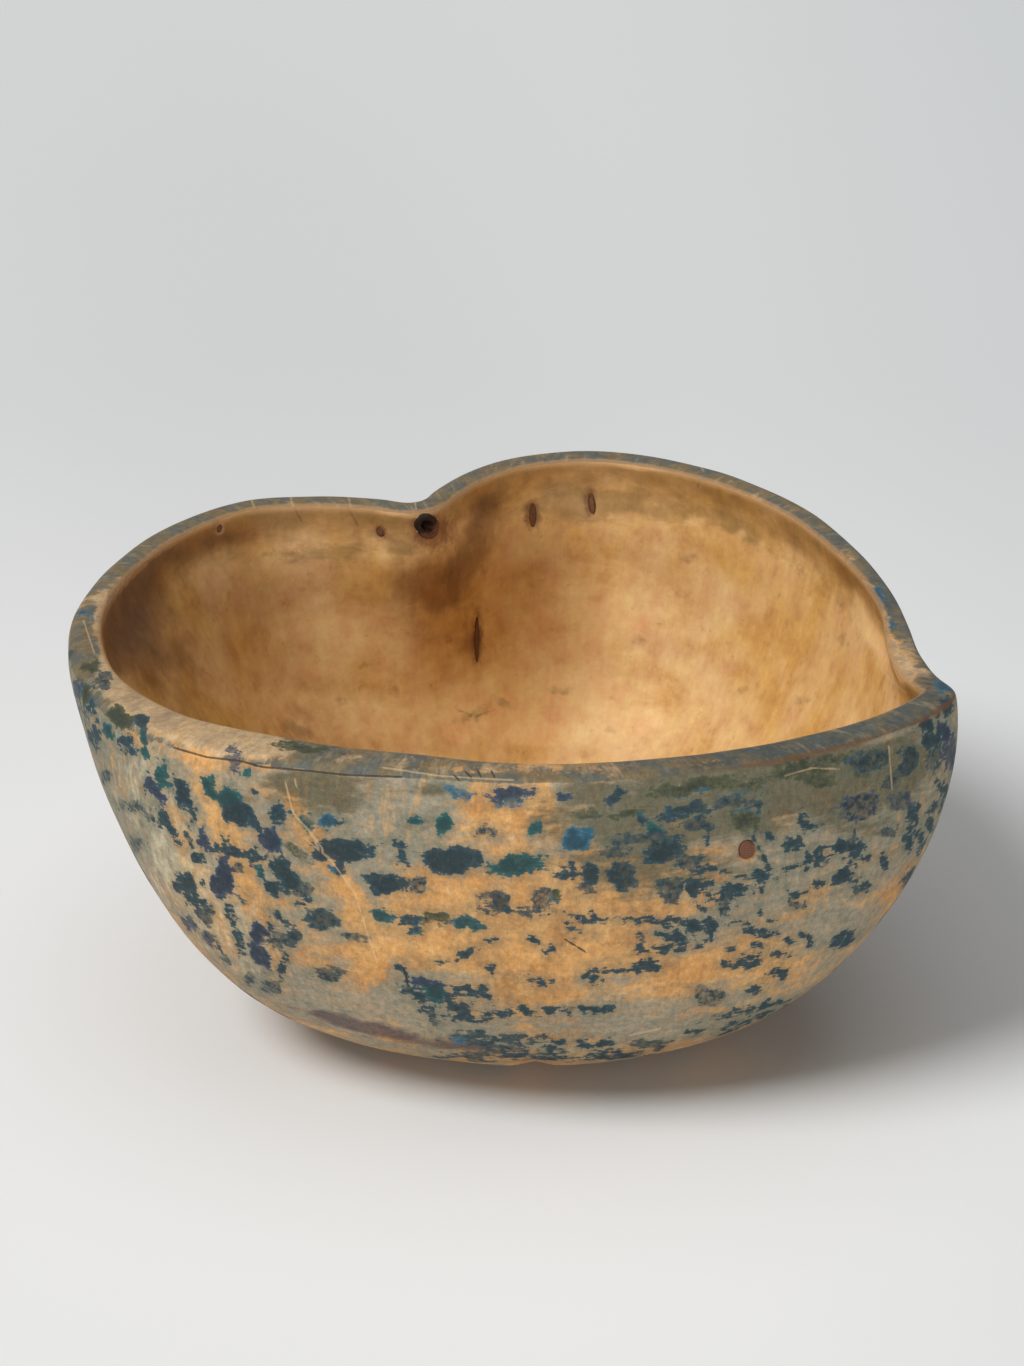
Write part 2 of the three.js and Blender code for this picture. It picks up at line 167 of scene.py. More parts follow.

# Soft marks, as (across, down, half width, half height, tilt, strength). Grey wash, olive stain and a
# purple-brown stain lie on the outside. Bare wood shows where the wall or the rim has lost its paint, a pale
# tint at the left of the wall is painted light, the rim has darker paint in places, and its outer edge is
# rubbed brown.
WASH_CLOUDS = (
    (140, 825, 45, 75, -12, .75), (429, 790, 26, 12, 0, .6), (570, 789, 22, 11, 0, .4),
    (320, 900, 70, 60, -20, .35), (430, 820, 34, 10, 0, .4), (250, 860, 50, 60, -20, .2),
    (620, 1000, 200, 34, -3, .3), (605, 837, 24, 12, 0, .6), (747, 822, 20, 16, 0, .7),
    (380, 795, 50, 34, 5, .6), (300, 780, 30, 22, 0, .6), (700, 790, 80, 18, -5, .7),
    (860, 800, 70, 45, -30, .8), (930, 790, 40, 80, 15, .8), (90, 700, 26, 40, 0, .6),
    (300, 1000, 80, 22, 25, .7), (500, 1030, 90, 20, 0, .4), (760, 1010, 90, 20, -20, .35),
    (250, 930, 30, 60, -25, .3), (355, 900, 18, 40, -30, .5), (640, 1030, 70, 18, -5, .35),
    (690, 930, 60, 30, -8, .3), (840, 930, 50, 40, -30, .5), (400, 850, 70, 30, 0, .45),
    (780, 880, 80, 40, -10, .6), (110, 760, 30, 50, 0, .5), (400, 990, 60, 30, 20, .5),
)
OLIVE_CLOUDS = (
    (700, 800, 120, 28, -6, 1), (845, 788, 60, 34, -12, .8), (292, 782, 26, 14, 0, 1),
    (345, 786, 46, 20, 0, .8), (432, 788, 26, 10, 0, .9), (585, 790, 34, 10, 0, .7),
    (700, 784, 90, 15, -5, 1), (828, 764, 70, 17, -9, 1), (905, 760, 30, 26, -20, .7),
    (610, 816, 60, 8, -3, .6), (700, 812, 60, 18, -6, .6), (420, 822, 36, 9, 0, .7),
    (240, 752, 22, 8, 0, .5), (120, 716, 18, 10, 30, .6), (430, 925, 60, 7, 8, .4),
    (650, 858, 90, 44, -8, 1), (300, 800, 60, 16, 5, .5), (760, 824, 20, 20, 0, .5),
    (300, 1015, 60, 10, 20, .4), (880, 820, 50, 40, -30, .35), (330, 860, 30, 12, 0, .3),
)
STAIN_CLOUDS = (
    (378, 1030, 52, 8, 9, .9), (330, 1017, 30, 6, 12, .8), (470, 1046, 70, 7, 4, .7),
    (540, 1060, 30, 5, 0, .6),
)
BARE_RIM = (
    (112, 678, 18, 20, 40, .8), (145, 706, 26, 18, 35, 1.4), (200, 728, 50, 20, 20, 1.8),
    (262, 744, 34, 12, 8, 1.2), (100, 610, 4, 26, 14, .6), (118, 580, 4, 22, 40, .3),
    (892, 648, 5, 14, -10, 1.2), (904, 672, 8, 12, -30, 1.3), (885, 618, 5, 14, -15, .7),
    (350, 758, 20, 8, 3, .5), (400, 760, 16, 10, 0, .4), (470, 768, 60, 8, 0, .5), (540, 765, 30, 9, 0, .4),
    (600, 768, 40, 9, 0, .45), (700, 762, 30, 4, 0, .3), (74, 607, 10, 7, 0, .7), (95, 597, 14, 5, -20, .5),
    (845, 560, 14, 16, 40, .4), (905, 660, 14, 20, 0, .7), (925, 672, 10, 6, 0, .6),
    (104, 640, 7, 40, -6, .8), (760, 500, 30, 5, 25, .4),
)
RIM_DARK = (
    (790, 742, 130, 22, -9, 1), (930, 690, 36, 26, -30, .9), (880, 600, 30, 44, 30, .8),
    (820, 540, 40, 26, 35, .5), (300, 748, 16, 6, 3, .8), (345, 753, 14, 6, 3, .6),
    (430, 762, 16, 5, 0, .4), (130, 706, 12, 8, 30, .3),
)
BARE_WALL = (
    (320, 850, 16, 60, -30, .7), (360, 940, 14, 50, -12, .8), (420, 880, 40, 10, 0, .3),
    (640, 910, 60, 10, 0, .5), (440, 950, 60, 20, 0, .8), (590, 950, 70, 20, 0, .9),
    (480, 805, 9, 24, 0, .9), (250, 900, 12, 50, -20, .6), (200, 760, 14, 40, -20, .8),
    (212, 900, 8, 60, -22, .6), (184, 860, 6, 46, -20, .5), (268, 950, 9, 44, -24, .6),
    (160, 800, 5, 50, -20, .5), (236, 880, 5, 50, -22, .5), (900, 900, 12, 34, 30, .6),
    (820, 870, 14, 40, 20, .5), (520, 940, 60, 70, 0, .5), (545, 800, 10, 16, 0, .8),
    (225, 830, 8, 40, -24, .6), (170, 800, 7, 50, -24, .6), (270, 760, 30, 8, 5, .6),
    (515, 812, 60, 24, 0, .6), (240, 850, 7, 40, -24, .5), (300, 815, 7, 30, -25, .8),
    (331, 862, 7, 34, -35, .9), (357, 900, 8, 30, -30, .9), (372, 945, 8, 30, -15, .8),
    (521, 920, 5, 130, -1, .4), (700, 970, 50, 16, -10, .5), (130, 720, 10, 30, -20, .5),
)

# Painted light: a pale tint over the left of the outer wall, which the light from the left reaches more
# strongly.
PAINTED_LIGHT_WALL = (
    (185, 880, 44, 90, -22, .9), (140, 770, 30, 50, -15, .5), (250, 940, 40, 50, -24, .6),
)
BROWN_EDGE = (
    (860, 730, 110, 22, -18, 1), (740, 760, 120, 14, -6, .8), (930, 690, 30, 40, 0, .8),
    (900, 620, 16, 60, -25, .7), (700, 480, 120, 12, 12, .5), (290, 758, 60, 5, 2, .35),
    (560, 778, 120, 8, 0, .4), (40, 640, 16, 60, 0, .3),
)

# Scratches and cracks, as rows of photo pixels that a line runs through.
WALL_CRACKS = (
    ((175, 748), (206, 757), (240, 761), (262, 767), (310, 771), (346, 775), (400, 777)),
    ((455, 776), (458, 779)), ((466, 772), (470, 776)), ((478, 771), (480, 775)), ((492, 772), (494, 776)),
    ((566, 940), (592, 956)), ((404, 969), (408, 985)),
)
# The scrape from (384, 768) to (512, 780) runs along the front outer edge of the rim: rubbed pale wood, and
# partly a painted highlight on the rounded edge.
WALL_SCRAPES = (
    ((285, 780), (293, 813), (311, 833), (332, 862), (357, 895)), ((295, 780), (298, 791)),
    ((303, 837), (332, 862), (355, 894), (377, 963)), ((384, 768), (440, 776), (512, 780)),
    ((630, 1035), (660, 1028)), ((889, 747), (892, 789)), ((786, 776), (812, 768), (839, 769)),
    ((290, 494), (293, 506)), ((348, 495), (351, 508)), ((414, 498), (416, 508)), ((697, 462), (703, 470)),
    ((862, 580), (873, 586)), ((84, 622), (94, 652)), ((251, 499), (254, 507)), ((693, 1043), (694, 1045)),
)

# Painted shadow, painted shade and light, pale wear, spots, cracks and scratches inside the bowl, in the same
# forms as those of the outside.
# Painted shadow on the inner wall: mostly that of the left rim on the left wall and of the cleft ridge to its
# right, over a little dark heartwood.
PAINTED_SHADOW_CLOUDS = (
    (118, 610, 22, 60, 10, .85), (146, 600, 24, 40, 0, .65), (455, 572, 22, 22, 0, .3),
    (140, 560, 40, 22, -40, .7), (190, 545, 50, 16, -25, .6), (240, 536, 34, 10, -12, .5),
    (294, 540, 24, 9, 0, .3), (150, 660, 50, 34, 25, .5), (190, 640, 60, 60, 10, .15),
    (477, 527, 22, 40, 20, .7), (445, 590, 34, 30, 10, .5), (404, 590, 34, 30, 0, .35),
    (470, 650, 14, 30, 0, .4), (300, 712, 20, 14, 20, .4), (490, 500, 22, 14, -30, .4),
    (850, 560, 18, 26, -40, .35), (840, 600, 10, 30, 0, .3), (430, 640, 40, 18, 0, .3),
    (560, 470, 70, 9, -4, .3), (700, 480, 60, 9, 12, .3), (390, 560, 24, 12, 0, .25),
)
# A darker, greyer band above the ledge: greyer wood, and painted shade in the cove under the rim.
COVE_GREY_AND_SHADE_CLOUDS = (
    (310, 554, 60, 12, 0, .8), (400, 552, 30, 20, 0, .6), (565, 505, 60, 20, 0, .8),
    (640, 505, 70, 14, 6, .8), (740, 530, 60, 14, 25, .7), (210, 600, 26, 18, -30, .4),
    (820, 590, 40, 14, 45, .5),
)
# Pale tints inside: bare worn wood at the right cleft and along the inner edge of the rim, painted highlights
# on the ridge of the ledge, and painted light over the middle and the left of the hollow.
PALE_WEAR_AND_LIGHT_CLOUDS = (
    (570, 630, 90, 80, 0, .8), (520, 725, 150, 30, 0, .8), (350, 640, 120, 60, 0, .7),
    (300, 710, 120, 30, 10, .6), (862, 606, 9, 26, -25, .8), (880, 646, 11, 24, -30, 1.0),
    (900, 676, 10, 14, -45, .9), (395, 512, 22, 5, 3, 1.0), (640, 466, 60, 5, 5, .9),
    (693, 522, 12, 7, 0, .7), (739, 534, 10, 7, 0, .7), (384, 552, 10, 14, 0, .5),
    (450, 545, 14, 8, 0, .35), (600, 700, 90, 34, 0, .5), (480, 690, 60, 18, 0, .5),
    (820, 680, 60, 40, 0, .3), (203, 618, 3, 3, 0, .9), (330, 640, 60, 40, 0, .2),
    (640, 600, 80, 50, 0, .4), (130, 660, 14, 60, -30, .4), (700, 720, 90, 20, 0, .2),
)
KNOT_CLOUDS = (
    (432, 531, 30, 24, 30, 1.0), (381, 532, 9, 10, 0, .8), (532, 515, 11, 20, 0, 1.0),
    (590, 503, 9, 18, 0, 1.0), (477, 636, 8, 34, 0, .9), (216, 525, 5, 5, 0, 1.0), (470, 505, 6, 5, 0, .2),
    (895, 660, 24, 20, 0, .35), (749, 851, 12, 14, 0, .7), (333, 800, 5, 5, 0, .9),
    (600, 474, 20, 8, 0, .3),
)
INSIDE_SPOTS = (
    (287, 725, 8, 6, 0, .2), (300, 728, 22, 10, 10, .5), (311, 736, 8, 5, 0, .3), (376, 528, 7, 3, -40),
    (385, 534, 6, 3, 30), (216, 525, 5, 5), (503, 704, 10, 4, 20, .4), (470, 716, 14, 3, -20, .5),
    (700, 600, 5, 4, 0, .3), (735, 640, 4, 3, 0, .3), (690, 560, 4, 3, 0, .4), (770, 610, 5, 3, 20, .3),
    (640, 640, 4, 3, 0, .5), (560, 690, 6, 3, 0, .5), (745, 690, 5, 4, 0, .4), (610, 730, 5, 3, 0, .4),
    (452, 640, 5, 3, 0, .4), (430, 500, 4, 3, 0, .5), (840, 640, 5, 3, 30, .4), (800, 700, 4, 3, 0, .4),
    (340, 700, 5, 3, 0, .4), (395, 690, 4, 3, 0, .4),
)
INSIDE_CRACKS = (
    ((460, 711), (476, 716), (492, 710)), ((348, 508), (357, 524)), ((293, 506), (301, 520)),
    ((702, 470), (698, 486)),
)
INSIDE_SCRAPES = (
    ((867, 640), (885, 655), (900, 680)), ((880, 622), (896, 650), (912, 675)),
    ((874, 660), (890, 680), (905, 692)), ((590, 462), (640, 463), (690, 474)), ((386, 508), (404, 509)),
)

# Seeded dabs where the photograph doesn't look: how many, between which heights, how far one may fall from a
# free place and still be put there, and how far its field reaches in millimetres.
HIDDEN_DABS = 460
HIDDEN_SEED = 41
HIDDEN_FROM = 0.018
HIDDEN_TO = 0.150
HIDDEN_GAP = 4 * MM
HIDDEN_REACH = 24

# Waves that make the edges of the dabs ragged: how strong each is in photo pixels, and how long.
WAVERS = ((8, 9 * MM), (4, 3 * MM))
WAVER_SEED = 5

# How the dabs and scratches are drawn on the mesh. A dab with a squareness of 2 would be an ellipse. In photo
# pixels: what a small dab gets back of what the spacing of the points would cost it, and how far the field of
# a scratch reaches. In millimetres inside a dab: no dab at all, the least that is kept, how near to its edge
# the mesh is refined, and what a grazing view takes off. Last, the nearness to a crack or a scratch from
# which the mesh is refined.
SQUARENESS = 2.4
SMALL_DAB = 3.0
LINE_WIDE = 6.0
NO_DAB = -99.0
LEAST_DAB = -20
FINE_DAB = 0.9
GRAZING_LOSS = 6
FINE_CRACK = 0.6
FINE_SCRAPE = 0.75

# How far a place has to face the camera to be seen at all and to be seen well, and how well it may be seen
# and still get a seeded dab.
SEEN_FROM = 0.02
SEEN_WELL = 0.14
HIDDEN_SEEN = 0.6

# How the surfaces of the bowl are told apart: steps round it in which the height of the rim is read, how flat
# the rim, the hollow's floor and the edges of the rim are, how far those edges turn out or in, how far down
# the rim goes, how far the distance to an edge is measured, and a usual radius in millimetres.
RIM_BINS = 120
RIM_FLAT = 0.55
FLOOR_FLAT = 0.5
EDGE_FLAT_FROM = 0.4
EDGE_FLAT_TO = 0.8
EDGE_TURN = 0.2
RIM_DROP = 9 * MM
EDGE_REACH = 40 * MM
AROUND_RADIUS = 150

# The most triangles that a piece may have, and the angle from which an edge stays sharp.
TRIANGLE_LIMIT = 198000
SHARP = math.radians(50)

# The knots and the bark: material slot, how far their surface is roughened, the size of its crumbs, and how
# far the piece swells into the gap around it.
INLAYS = {
    "cleft_knot": ("knot_wood", 0.10 * MM, 2.0 * MM, 0.7 * MM),
    "side_knot": ("knot_wood", 0.08 * MM, 1.5 * MM, 0.16 * MM),
    "pin_knot_back": ("knot_wood", 0.08 * MM, 1.5 * MM, 0.16 * MM),
    "pin_knot_left": ("knot_wood", 0.08 * MM, 1.5 * MM, 0.16 * MM),
    "ledge_bark_left": ("bark", 0.12 * MM, 1.0 * MM, 0.14 * MM),
    "ledge_bark_right": ("bark", 0.12 * MM, 1.0 * MM, 0.14 * MM),
    "cleft_bark_seam": ("bark", 0.12 * MM, 1.2 * MM, 0.14 * MM),
}

# The knot whose heart has rotted out: how much its hole narrows on the way through, and in millimetres from
# its middle line, how far the wall of the hole lies at most and where its near-black fades: the rotted heart,
# and painted shade of the deep hole.
HOLLOW_KNOTS = ("cleft_knot",)
HOLE_NARROWING = 0.5
HOLE_REACH = 5.2
ROT_AND_SHADE_FROM = 4.2
ROT_AND_SHADE_TO = 6.0
# How wide a ring of a knot is, in millimetres.
RING_WIDE = 0.9

# Lamps: strength, width of the soft source in degrees, and how each is turned.
LAMPS = (
    ("key", 2.45, 26, (0, -38, 24)),
    ("top", 0.8, 60, (-8, 0, 0)),
    ("front", 2.1, 14, (87, 0, 10)),
)
AIR_LIGHT = 0.08
FLOOR_SIZE = 4.0


def linear(text):
    """A hex colour, as painted, turned to Blender's linear values."""
    values = [int(text[place:place + 2], 16) / 255 for place in (1, 3, 5)]
    values = [value / 12.92 if value <= 0.04045 else ((value + 0.055) / 1.055) ** 2.4 for value in values]
    return (*values, 1.0)


def smooth(low, high, value):
    """An eased step from 0 at low to 1 at high."""
    share = np.clip((value - low) / (high - low), 0, 1)
    return share * share * (3 - 2 * share)


def add_node(tree, kind, inputs=(), out=0, **settings):
    """Adds one node, with its settings, values and links, and gives one of its outputs."""
    node = tree.nodes.new("ShaderNode" + kind)
    for name, value in settings.items():
        setattr(node, name, value)
    for key, value in dict(inputs).items():
        if isinstance(value, bpy.types.NodeSocket):
            tree.links.new(value, node.inputs[key])
        else:
            node.inputs[key].default_value = value
    return node.outputs[out] if node.outputs else None


class BowlSizes(bpy.types.PropertyGroup):
    """Sizes that change how the bowl is finished."""
    gouge_depth: bpy.props.FloatProperty(
        name="Gouge depth", description="How far the soft hollows of the scraper go into the wall",
        default=0.00035, min=0, max=0.001, unit="LENGTH")
    gouge_width: bpy.props.FloatProperty(
        name="Gouge width", description="Usual distance from one soft hollow to the next",
        default=0.026, min=0.01, max=0.06, unit="LENGTH")
    rim_wear: bpy.props.FloatProperty(
        name="Rim wear", description="Width of the bare wood that handling left at the inner edge of the rim",
        default=0.0014, min=0, max=0.008, unit="LENGTH")


class BowlColours(bpy.types.PropertyGroup):
    """Colours of the wood and of what is left on it."""
    bare: bpy.props.FloatVectorProperty(
        name="Bare wood", description="Scraped wood of the outer wall",
        default=linear("#c49459"), size=4, min=0, max=1, subtype="COLOR")
    wash: bpy.props.FloatVectorProperty(
        name="Wash", description="Thin grey-green wash on the outer wall",
        default=linear("#7f8072"), size=4, min=0, max=1, subtype="COLOR")
    rim: bpy.props.FloatVectorProperty(
        name="Rim paint", description="Blue-grey paint on the rim",
        default=linear("#4b504b"), size=4, min=0, max=1, subtype="COLOR")
    inside: bpy.props.FloatVectorProperty(
        name="Inside", description="Oiled burl of the hollow",
        default=linear("#d8b17c"), size=4, min=0, max=1, subtype="COLOR")
    # Colour of the painted shadow inside the hollow, mostly of the left rim and the cleft ridge, over a little
    # dark heartwood.
    painted_shadow: bpy.props.FloatVectorProperty(
        name="Inside shade", description="Dark heartwood of the hollow",
        default=linear("#5c412b"), size=4, min=0, max=1, subtype="COLOR")
    floor: bpy.props.FloatVectorProperty(
        name="Floor", description="Pale studio floor",
        default=linear("#e8e8e7"), size=4, min=0, max=1, subtype="COLOR")


def lay_over(tree, under, rows):
    """Lays tints over a colour one after another. Each row has a tint, the field of the mesh, or the mask,
    that it follows, the places and scale of the noise that makes its edge ragged, how ragged that is, the
    values of the field at which the tint starts and is whole, and how much of it covers."""
    for tint, field, place, scale, ragged, low, high, most in rows:
        if isinstance(tint, str):
            tint = linear(tint)
        if isinstance(field, str):
            field = add_node(tree, "Attribute", out="Fac", attribute_name=field)
        cloud = add_node(tree, "TexNoise", {"Vector": place, "Scale": scale, "Detail": 5, "Roughness": 0.64})
        edge = add_node(tree, "Math", {0: cloud, 1: ragged, 2: field}, operation="MULTIPLY_ADD")
        limits = {0: edge, 1: low + ragged / 2, 2: high + ragged / 2, 4: most}
        mask = add_node(tree, "MapRange", limits, interpolation_type="SMOOTHSTEP")
        under = add_node(tree, "Mix", {0: mask, 6: under, 7: tint}, 2, data_type="RGBA")
    return under


def thin_line(tree, name, half):
    """A scratch or crack as a mask, from the two fields that hold its side and its nearness."""
    side = add_node(tree, "Attribute", out="Fac", attribute_name=name + "_side")
    near = add_node(tree, "Attribute", out="Fac", attribute_name=name + "_near")
    away = add_node(tree, "Math", {0: side}, operation="ABSOLUTE")
    line = add_node(tree, "MapRange", {0: away, 1: 0.0, 2: half, 3: 1.0, 4: 0.0})
    kept = add_node(tree, "MapRange", {0: near, 1: 0.45, 2: 0.8})
    return add_node(tree, "Math", {0: line, 1: kept}, operation="MULTIPLY")


def new_material(name):
    """A material with its nodes cleared, and its places in millimetres."""
    material = bpy.data.materials.new(name)
    material.use_nodes = True
    tree = material.node_tree
    tree.nodes.clear()
    where = add_node(tree, "TexCoord", out="Object")
    place = add_node(tree, "VectorMath", {0: where, 3: 1 / MM}, operation="SCALE")
    return material, tree, place


def finish_material(tree, colour, roughness, height, relief):
    """Closes a wood or bark material with its gloss and its fine relief, which is in metres."""
    bump = add_node(tree, "Bump", {"Height": height, "Strength": 0.6, "Distance": relief})
    values = {"Base Color": colour, "Roughness": roughness, "Normal": bump, "IOR": 1.35}
    add_node(tree, "OutputMaterial", {"Surface": add_node(tree, "BsdfPrincipled", values)})


def painted_burl():
    """Burl scraped smooth by hand and rubbed with thin earth paint, most of it worn off. The eye gets warm
    open wood between a soft grey-green wash and dark blue-green dabs with ragged, streaked edges."""
    colours = bpy.context.scene.bowl_colours
    worn_wide = bpy.context.scene.bowl_sizes.rim_wear / MM
    material, tree, place = new_material("painted_burl")
    around = add_node(tree, "Attribute", out="Vector", attribute_name="around")
    # Streaks follow the scraper round the wall: short down the wall, three times as long along it.
    along = add_node(tree, "VectorMath", {0: around, 1: (0.35, 0.35, 1.0)}, operation="MULTIPLY")
    # Fibres run down the wall, and across the rim.
    fibre = add_node(tree, "VectorMath", {0: around, 1: (1.0, 1.0, 0.3)}, operation="MULTIPLY")
    warm = add_node(tree, "TexNoise", {"Vector": place, "Scale": 0.05, "Detail": 4, "Distortion": 0.8})
    warmth = add_node(tree, "MapRange", {0: warm, 1: 0.35, 2: 0.65})
    colour = add_node(tree, "Mix", {0: warmth, 6: colours.bare, 7: linear("#ae7b44")}, 2, data_type="RGBA")
    # The finest pores and strokes of the scraper, light and dark.
    stroke = add_node(tree, "TexNoise", {"Vector": fibre, "Scale": 0.6, "Detail": 6, "Roughness": 0.75})
    grit = add_node(tree, "TexNoise", {"Vector": place, "Scale": 0.35, "Detail": 8, "Roughness": 0.8})
    shades = add_node(tree, "Math", {0: stroke, 1: 0.4, 2: grit}, operation="MULTIPLY_ADD")
    shades = add_node(tree, "MapRange", {0: shades, 1: 0.45, 2: 0.95, 3: 0.08, 4: 0.92})
    # Light and dark wood, then washes: an even grey one, streaks of it and a greener one, with wood that
    # shows through, and a pale tint at the left that is painted light. Olive stain lies under the rim, a halo
    # round each dab, and a purple-brown stain and dark flecks here and there.
    colour = lay_over(tree, colour, (
        ("#deb57e", "outside", place, 0.25, 2.4, 1.05, 1.5, 0.4),
        ("#8c5f31", "outside", along, 0.22, 2.4, 1.1, 1.55, 0.3),
        (colours.wash, "wash", along, 0.11, 2.2, 0.15, 0.65, 0.72),
        (colours.wash, "wash", place, 0.3, 3.0, 0.3, 0.9, 0.55),
        ("#716f5e", "wash", along, 0.3, 3.0, 0.55, 1.05, 0.5),
        ("#b38a58", "wash", fibre, 0.35, 3.4, 0.75, 1.5, 0.6),
        ("#bdb092", "pale_wear_and_light", fibre, 0.3, 2.6, 0.3, 1.1, 0.6),
        ("#4f472f", "olive", along, 0.18, 2.2, 0.3, 0.9, 0.8),
        ("#5b6050", "dab", place, 0.3, 4.0, -4.0, 0.5, 0.45),
        ("#4a3a3c", "stain", along, 0.3, 1.0, 0.3, 0.8, 0.8),
        ("#26424b", "fleck", along, 0.5, 2.4, 0.66, 0.76, 0.8)))
    # Rim paint in three close hues. Where hands wore it off, the wood is pale and a little pink, with fine
    # streaks across.
    blue = add_node(tree, "TexNoise", {"Vector": place, "Scale": 0.1, "Detail": 4})
    hue = add_node(tree, "MapRange", {0: blue, 1: 0.43, 2: 0.57})
    rim = add_node(tree, "Mix", {0: hue, 6: colours.rim, 7: linear("#685a40")}, 2, data_type="RGBA")
    rim = lay_over(tree, rim, (
        ("#26363a", "rim_dark", place, 0.16, 1.8, 0.3, 0.8, 0.65),
        ("#8f7f62", "outside", fibre, 0.3, 3.0, 1.05, 1.6, 0.55)))
    colour = lay_over(tree, colour, (
        (rim, "rim_paint", place, 0.25, 2.0, 0.3, 0.65, 0.9),
        ("#b69c78", "rim_bare", fibre, 0.22, 2.0, 0.25, 0.9, 0.85),
        ("#83705a", "rim_bare", fibre, 0.12, 2.4, 0.75, 1.2, 0.6),
        ("#c49a63", "rim_bare", fibre, 0.4, 3.0, 1.0, 1.5, 0.4)))
    colour = add_node(tree, "Mix", {0: 0.55, 6: colour, 7: shades}, 2, data_type="RGBA", blend_type="OVERLAY")
    # Dabs: a dark core, a lighter rim, speckled away where they are worn.
    dab = add_node(tree, "Attribute", out="Fac", attribute_name="dab")
    wear = add_node(tree, "Attribute", out="Fac", attribute_name="wear")
    tone = add_node(tree, "Attribute", out="Fac", attribute_name="tone")
    blotch = add_node(tree, "TexNoise", {"Vector": place, "Scale": 0.32, "Detail": 6, "Roughness": 0.66})
    streak = add_node(tree, "TexNoise", {"Vector": along, "Scale": 0.8, "Detail": 4, "Roughness": 0.6})
    speckle = add_node(tree, "TexNoise", {"Vector": place, "Scale": 0.36, "Detail": 7, "Roughness": 0.72})
    edge = add_node(tree, "Math", {0: blotch, 1: 5.0, 2: dab}, operation="MULTIPLY_ADD")
    edge = add_node(tree, "Math", {0: streak, 1: 3.6, 2: edge}, operation="MULTIPLY_ADD")
    body = add_node(tree, "MapRange", {0: edge, 1: 3.9, 2: 4.4}, interpolation_type="SMOOTHSTEP")
    core = add_node(tree, "MapRange", {0: edge, 1: 4.3, 2: 6.0}, interpolation_type="SMOOTHSTEP")
    gone = add_node(tree, "MapRange", {0: speckle, 1: 0.42, 2: 0.6})
    worn = add_node(tree, "Math", {0: wear, 1: 0.92, 2: 0.04}, operation="MULTIPLY_ADD")
    worn = add_node(tree, "Math", {0: gone, 1: worn}, operation="MULTIPLY")
    kept = add_node(tree, "Math", {0: 0.98, 1: worn}, operation="SUBTRACT")
    body = add_node(tree, "Math", {0: body, 1: kept}, operation="MULTIPLY")
    ramp = add_node(tree, "ValToRGB", {0: tone})
    stops = ramp.node.color_ramp.elements
    for stop, text in ((INDIGO, "#2b3b4f"), (TEAL, "#154e4f"), (BLUE, "#235a70")):
        stops.new(stop).color = linear(text)
    stops[0].color = linear("#203b43")
    stops[-1].color = linear("#41452c")
    deep = add_node(tree, "Mix", {0: 0.6, 6: ramp, 7: linear("#08161a")}, 2, data_type="RGBA")
    pigment = add_node(tree, "Mix", {0: core, 6: ramp, 7: deep}, 2, data_type="RGBA")
    pigment = lay_over(tree, pigment, (("#2f676f", "outside", place, 0.5, 2.6, 1.25, 1.6, 0.45),))
    colour = add_node(tree, "Mix", {0: body, 6: colour, 7: pigment}, 2, data_type="RGBA")
    # A few fibres are scraped bare again over the paint, and both edges of the rim are rubbed.
    colour = lay_over(tree, colour, (
        ("#c9a272", "outside", place, 0.7, 2.6, 1.35, 1.8, 0.3),
        ("#6d4a35", "knotty", place, 0.5, 0.7, 0.3, 0.8, 0.6),
        # Pale scrapes; the one along the front outer edge of the rim is partly a painted highlight.
        ("#dcb98a", thin_line(tree, "scrape", 1.7), place, 0.4, 1.4, 0.1, 0.9, 0.34),
        ("#2b211b", thin_line(tree, "crack", 1.6), place, 0.5, 0.6, 0.1, 0.6, 0.85),
        ("#5d412b", "outer_edge", fibre, 0.3, 3.0, -1.7, 0.3, 0.75),
        ("#a98257", "inner_edge", place, 0.25, 2.4, -worn_wide - 0.8, 0.8 - worn_wide, 0.6)))
    gloss = add_node(tree, "MapRange", {0: warm, 1: 0.3, 2: 0.7, 3: 0.58, 4: 0.72})
    finish_material(tree, colour, gloss, shades, 0.3 * MM)
    return material


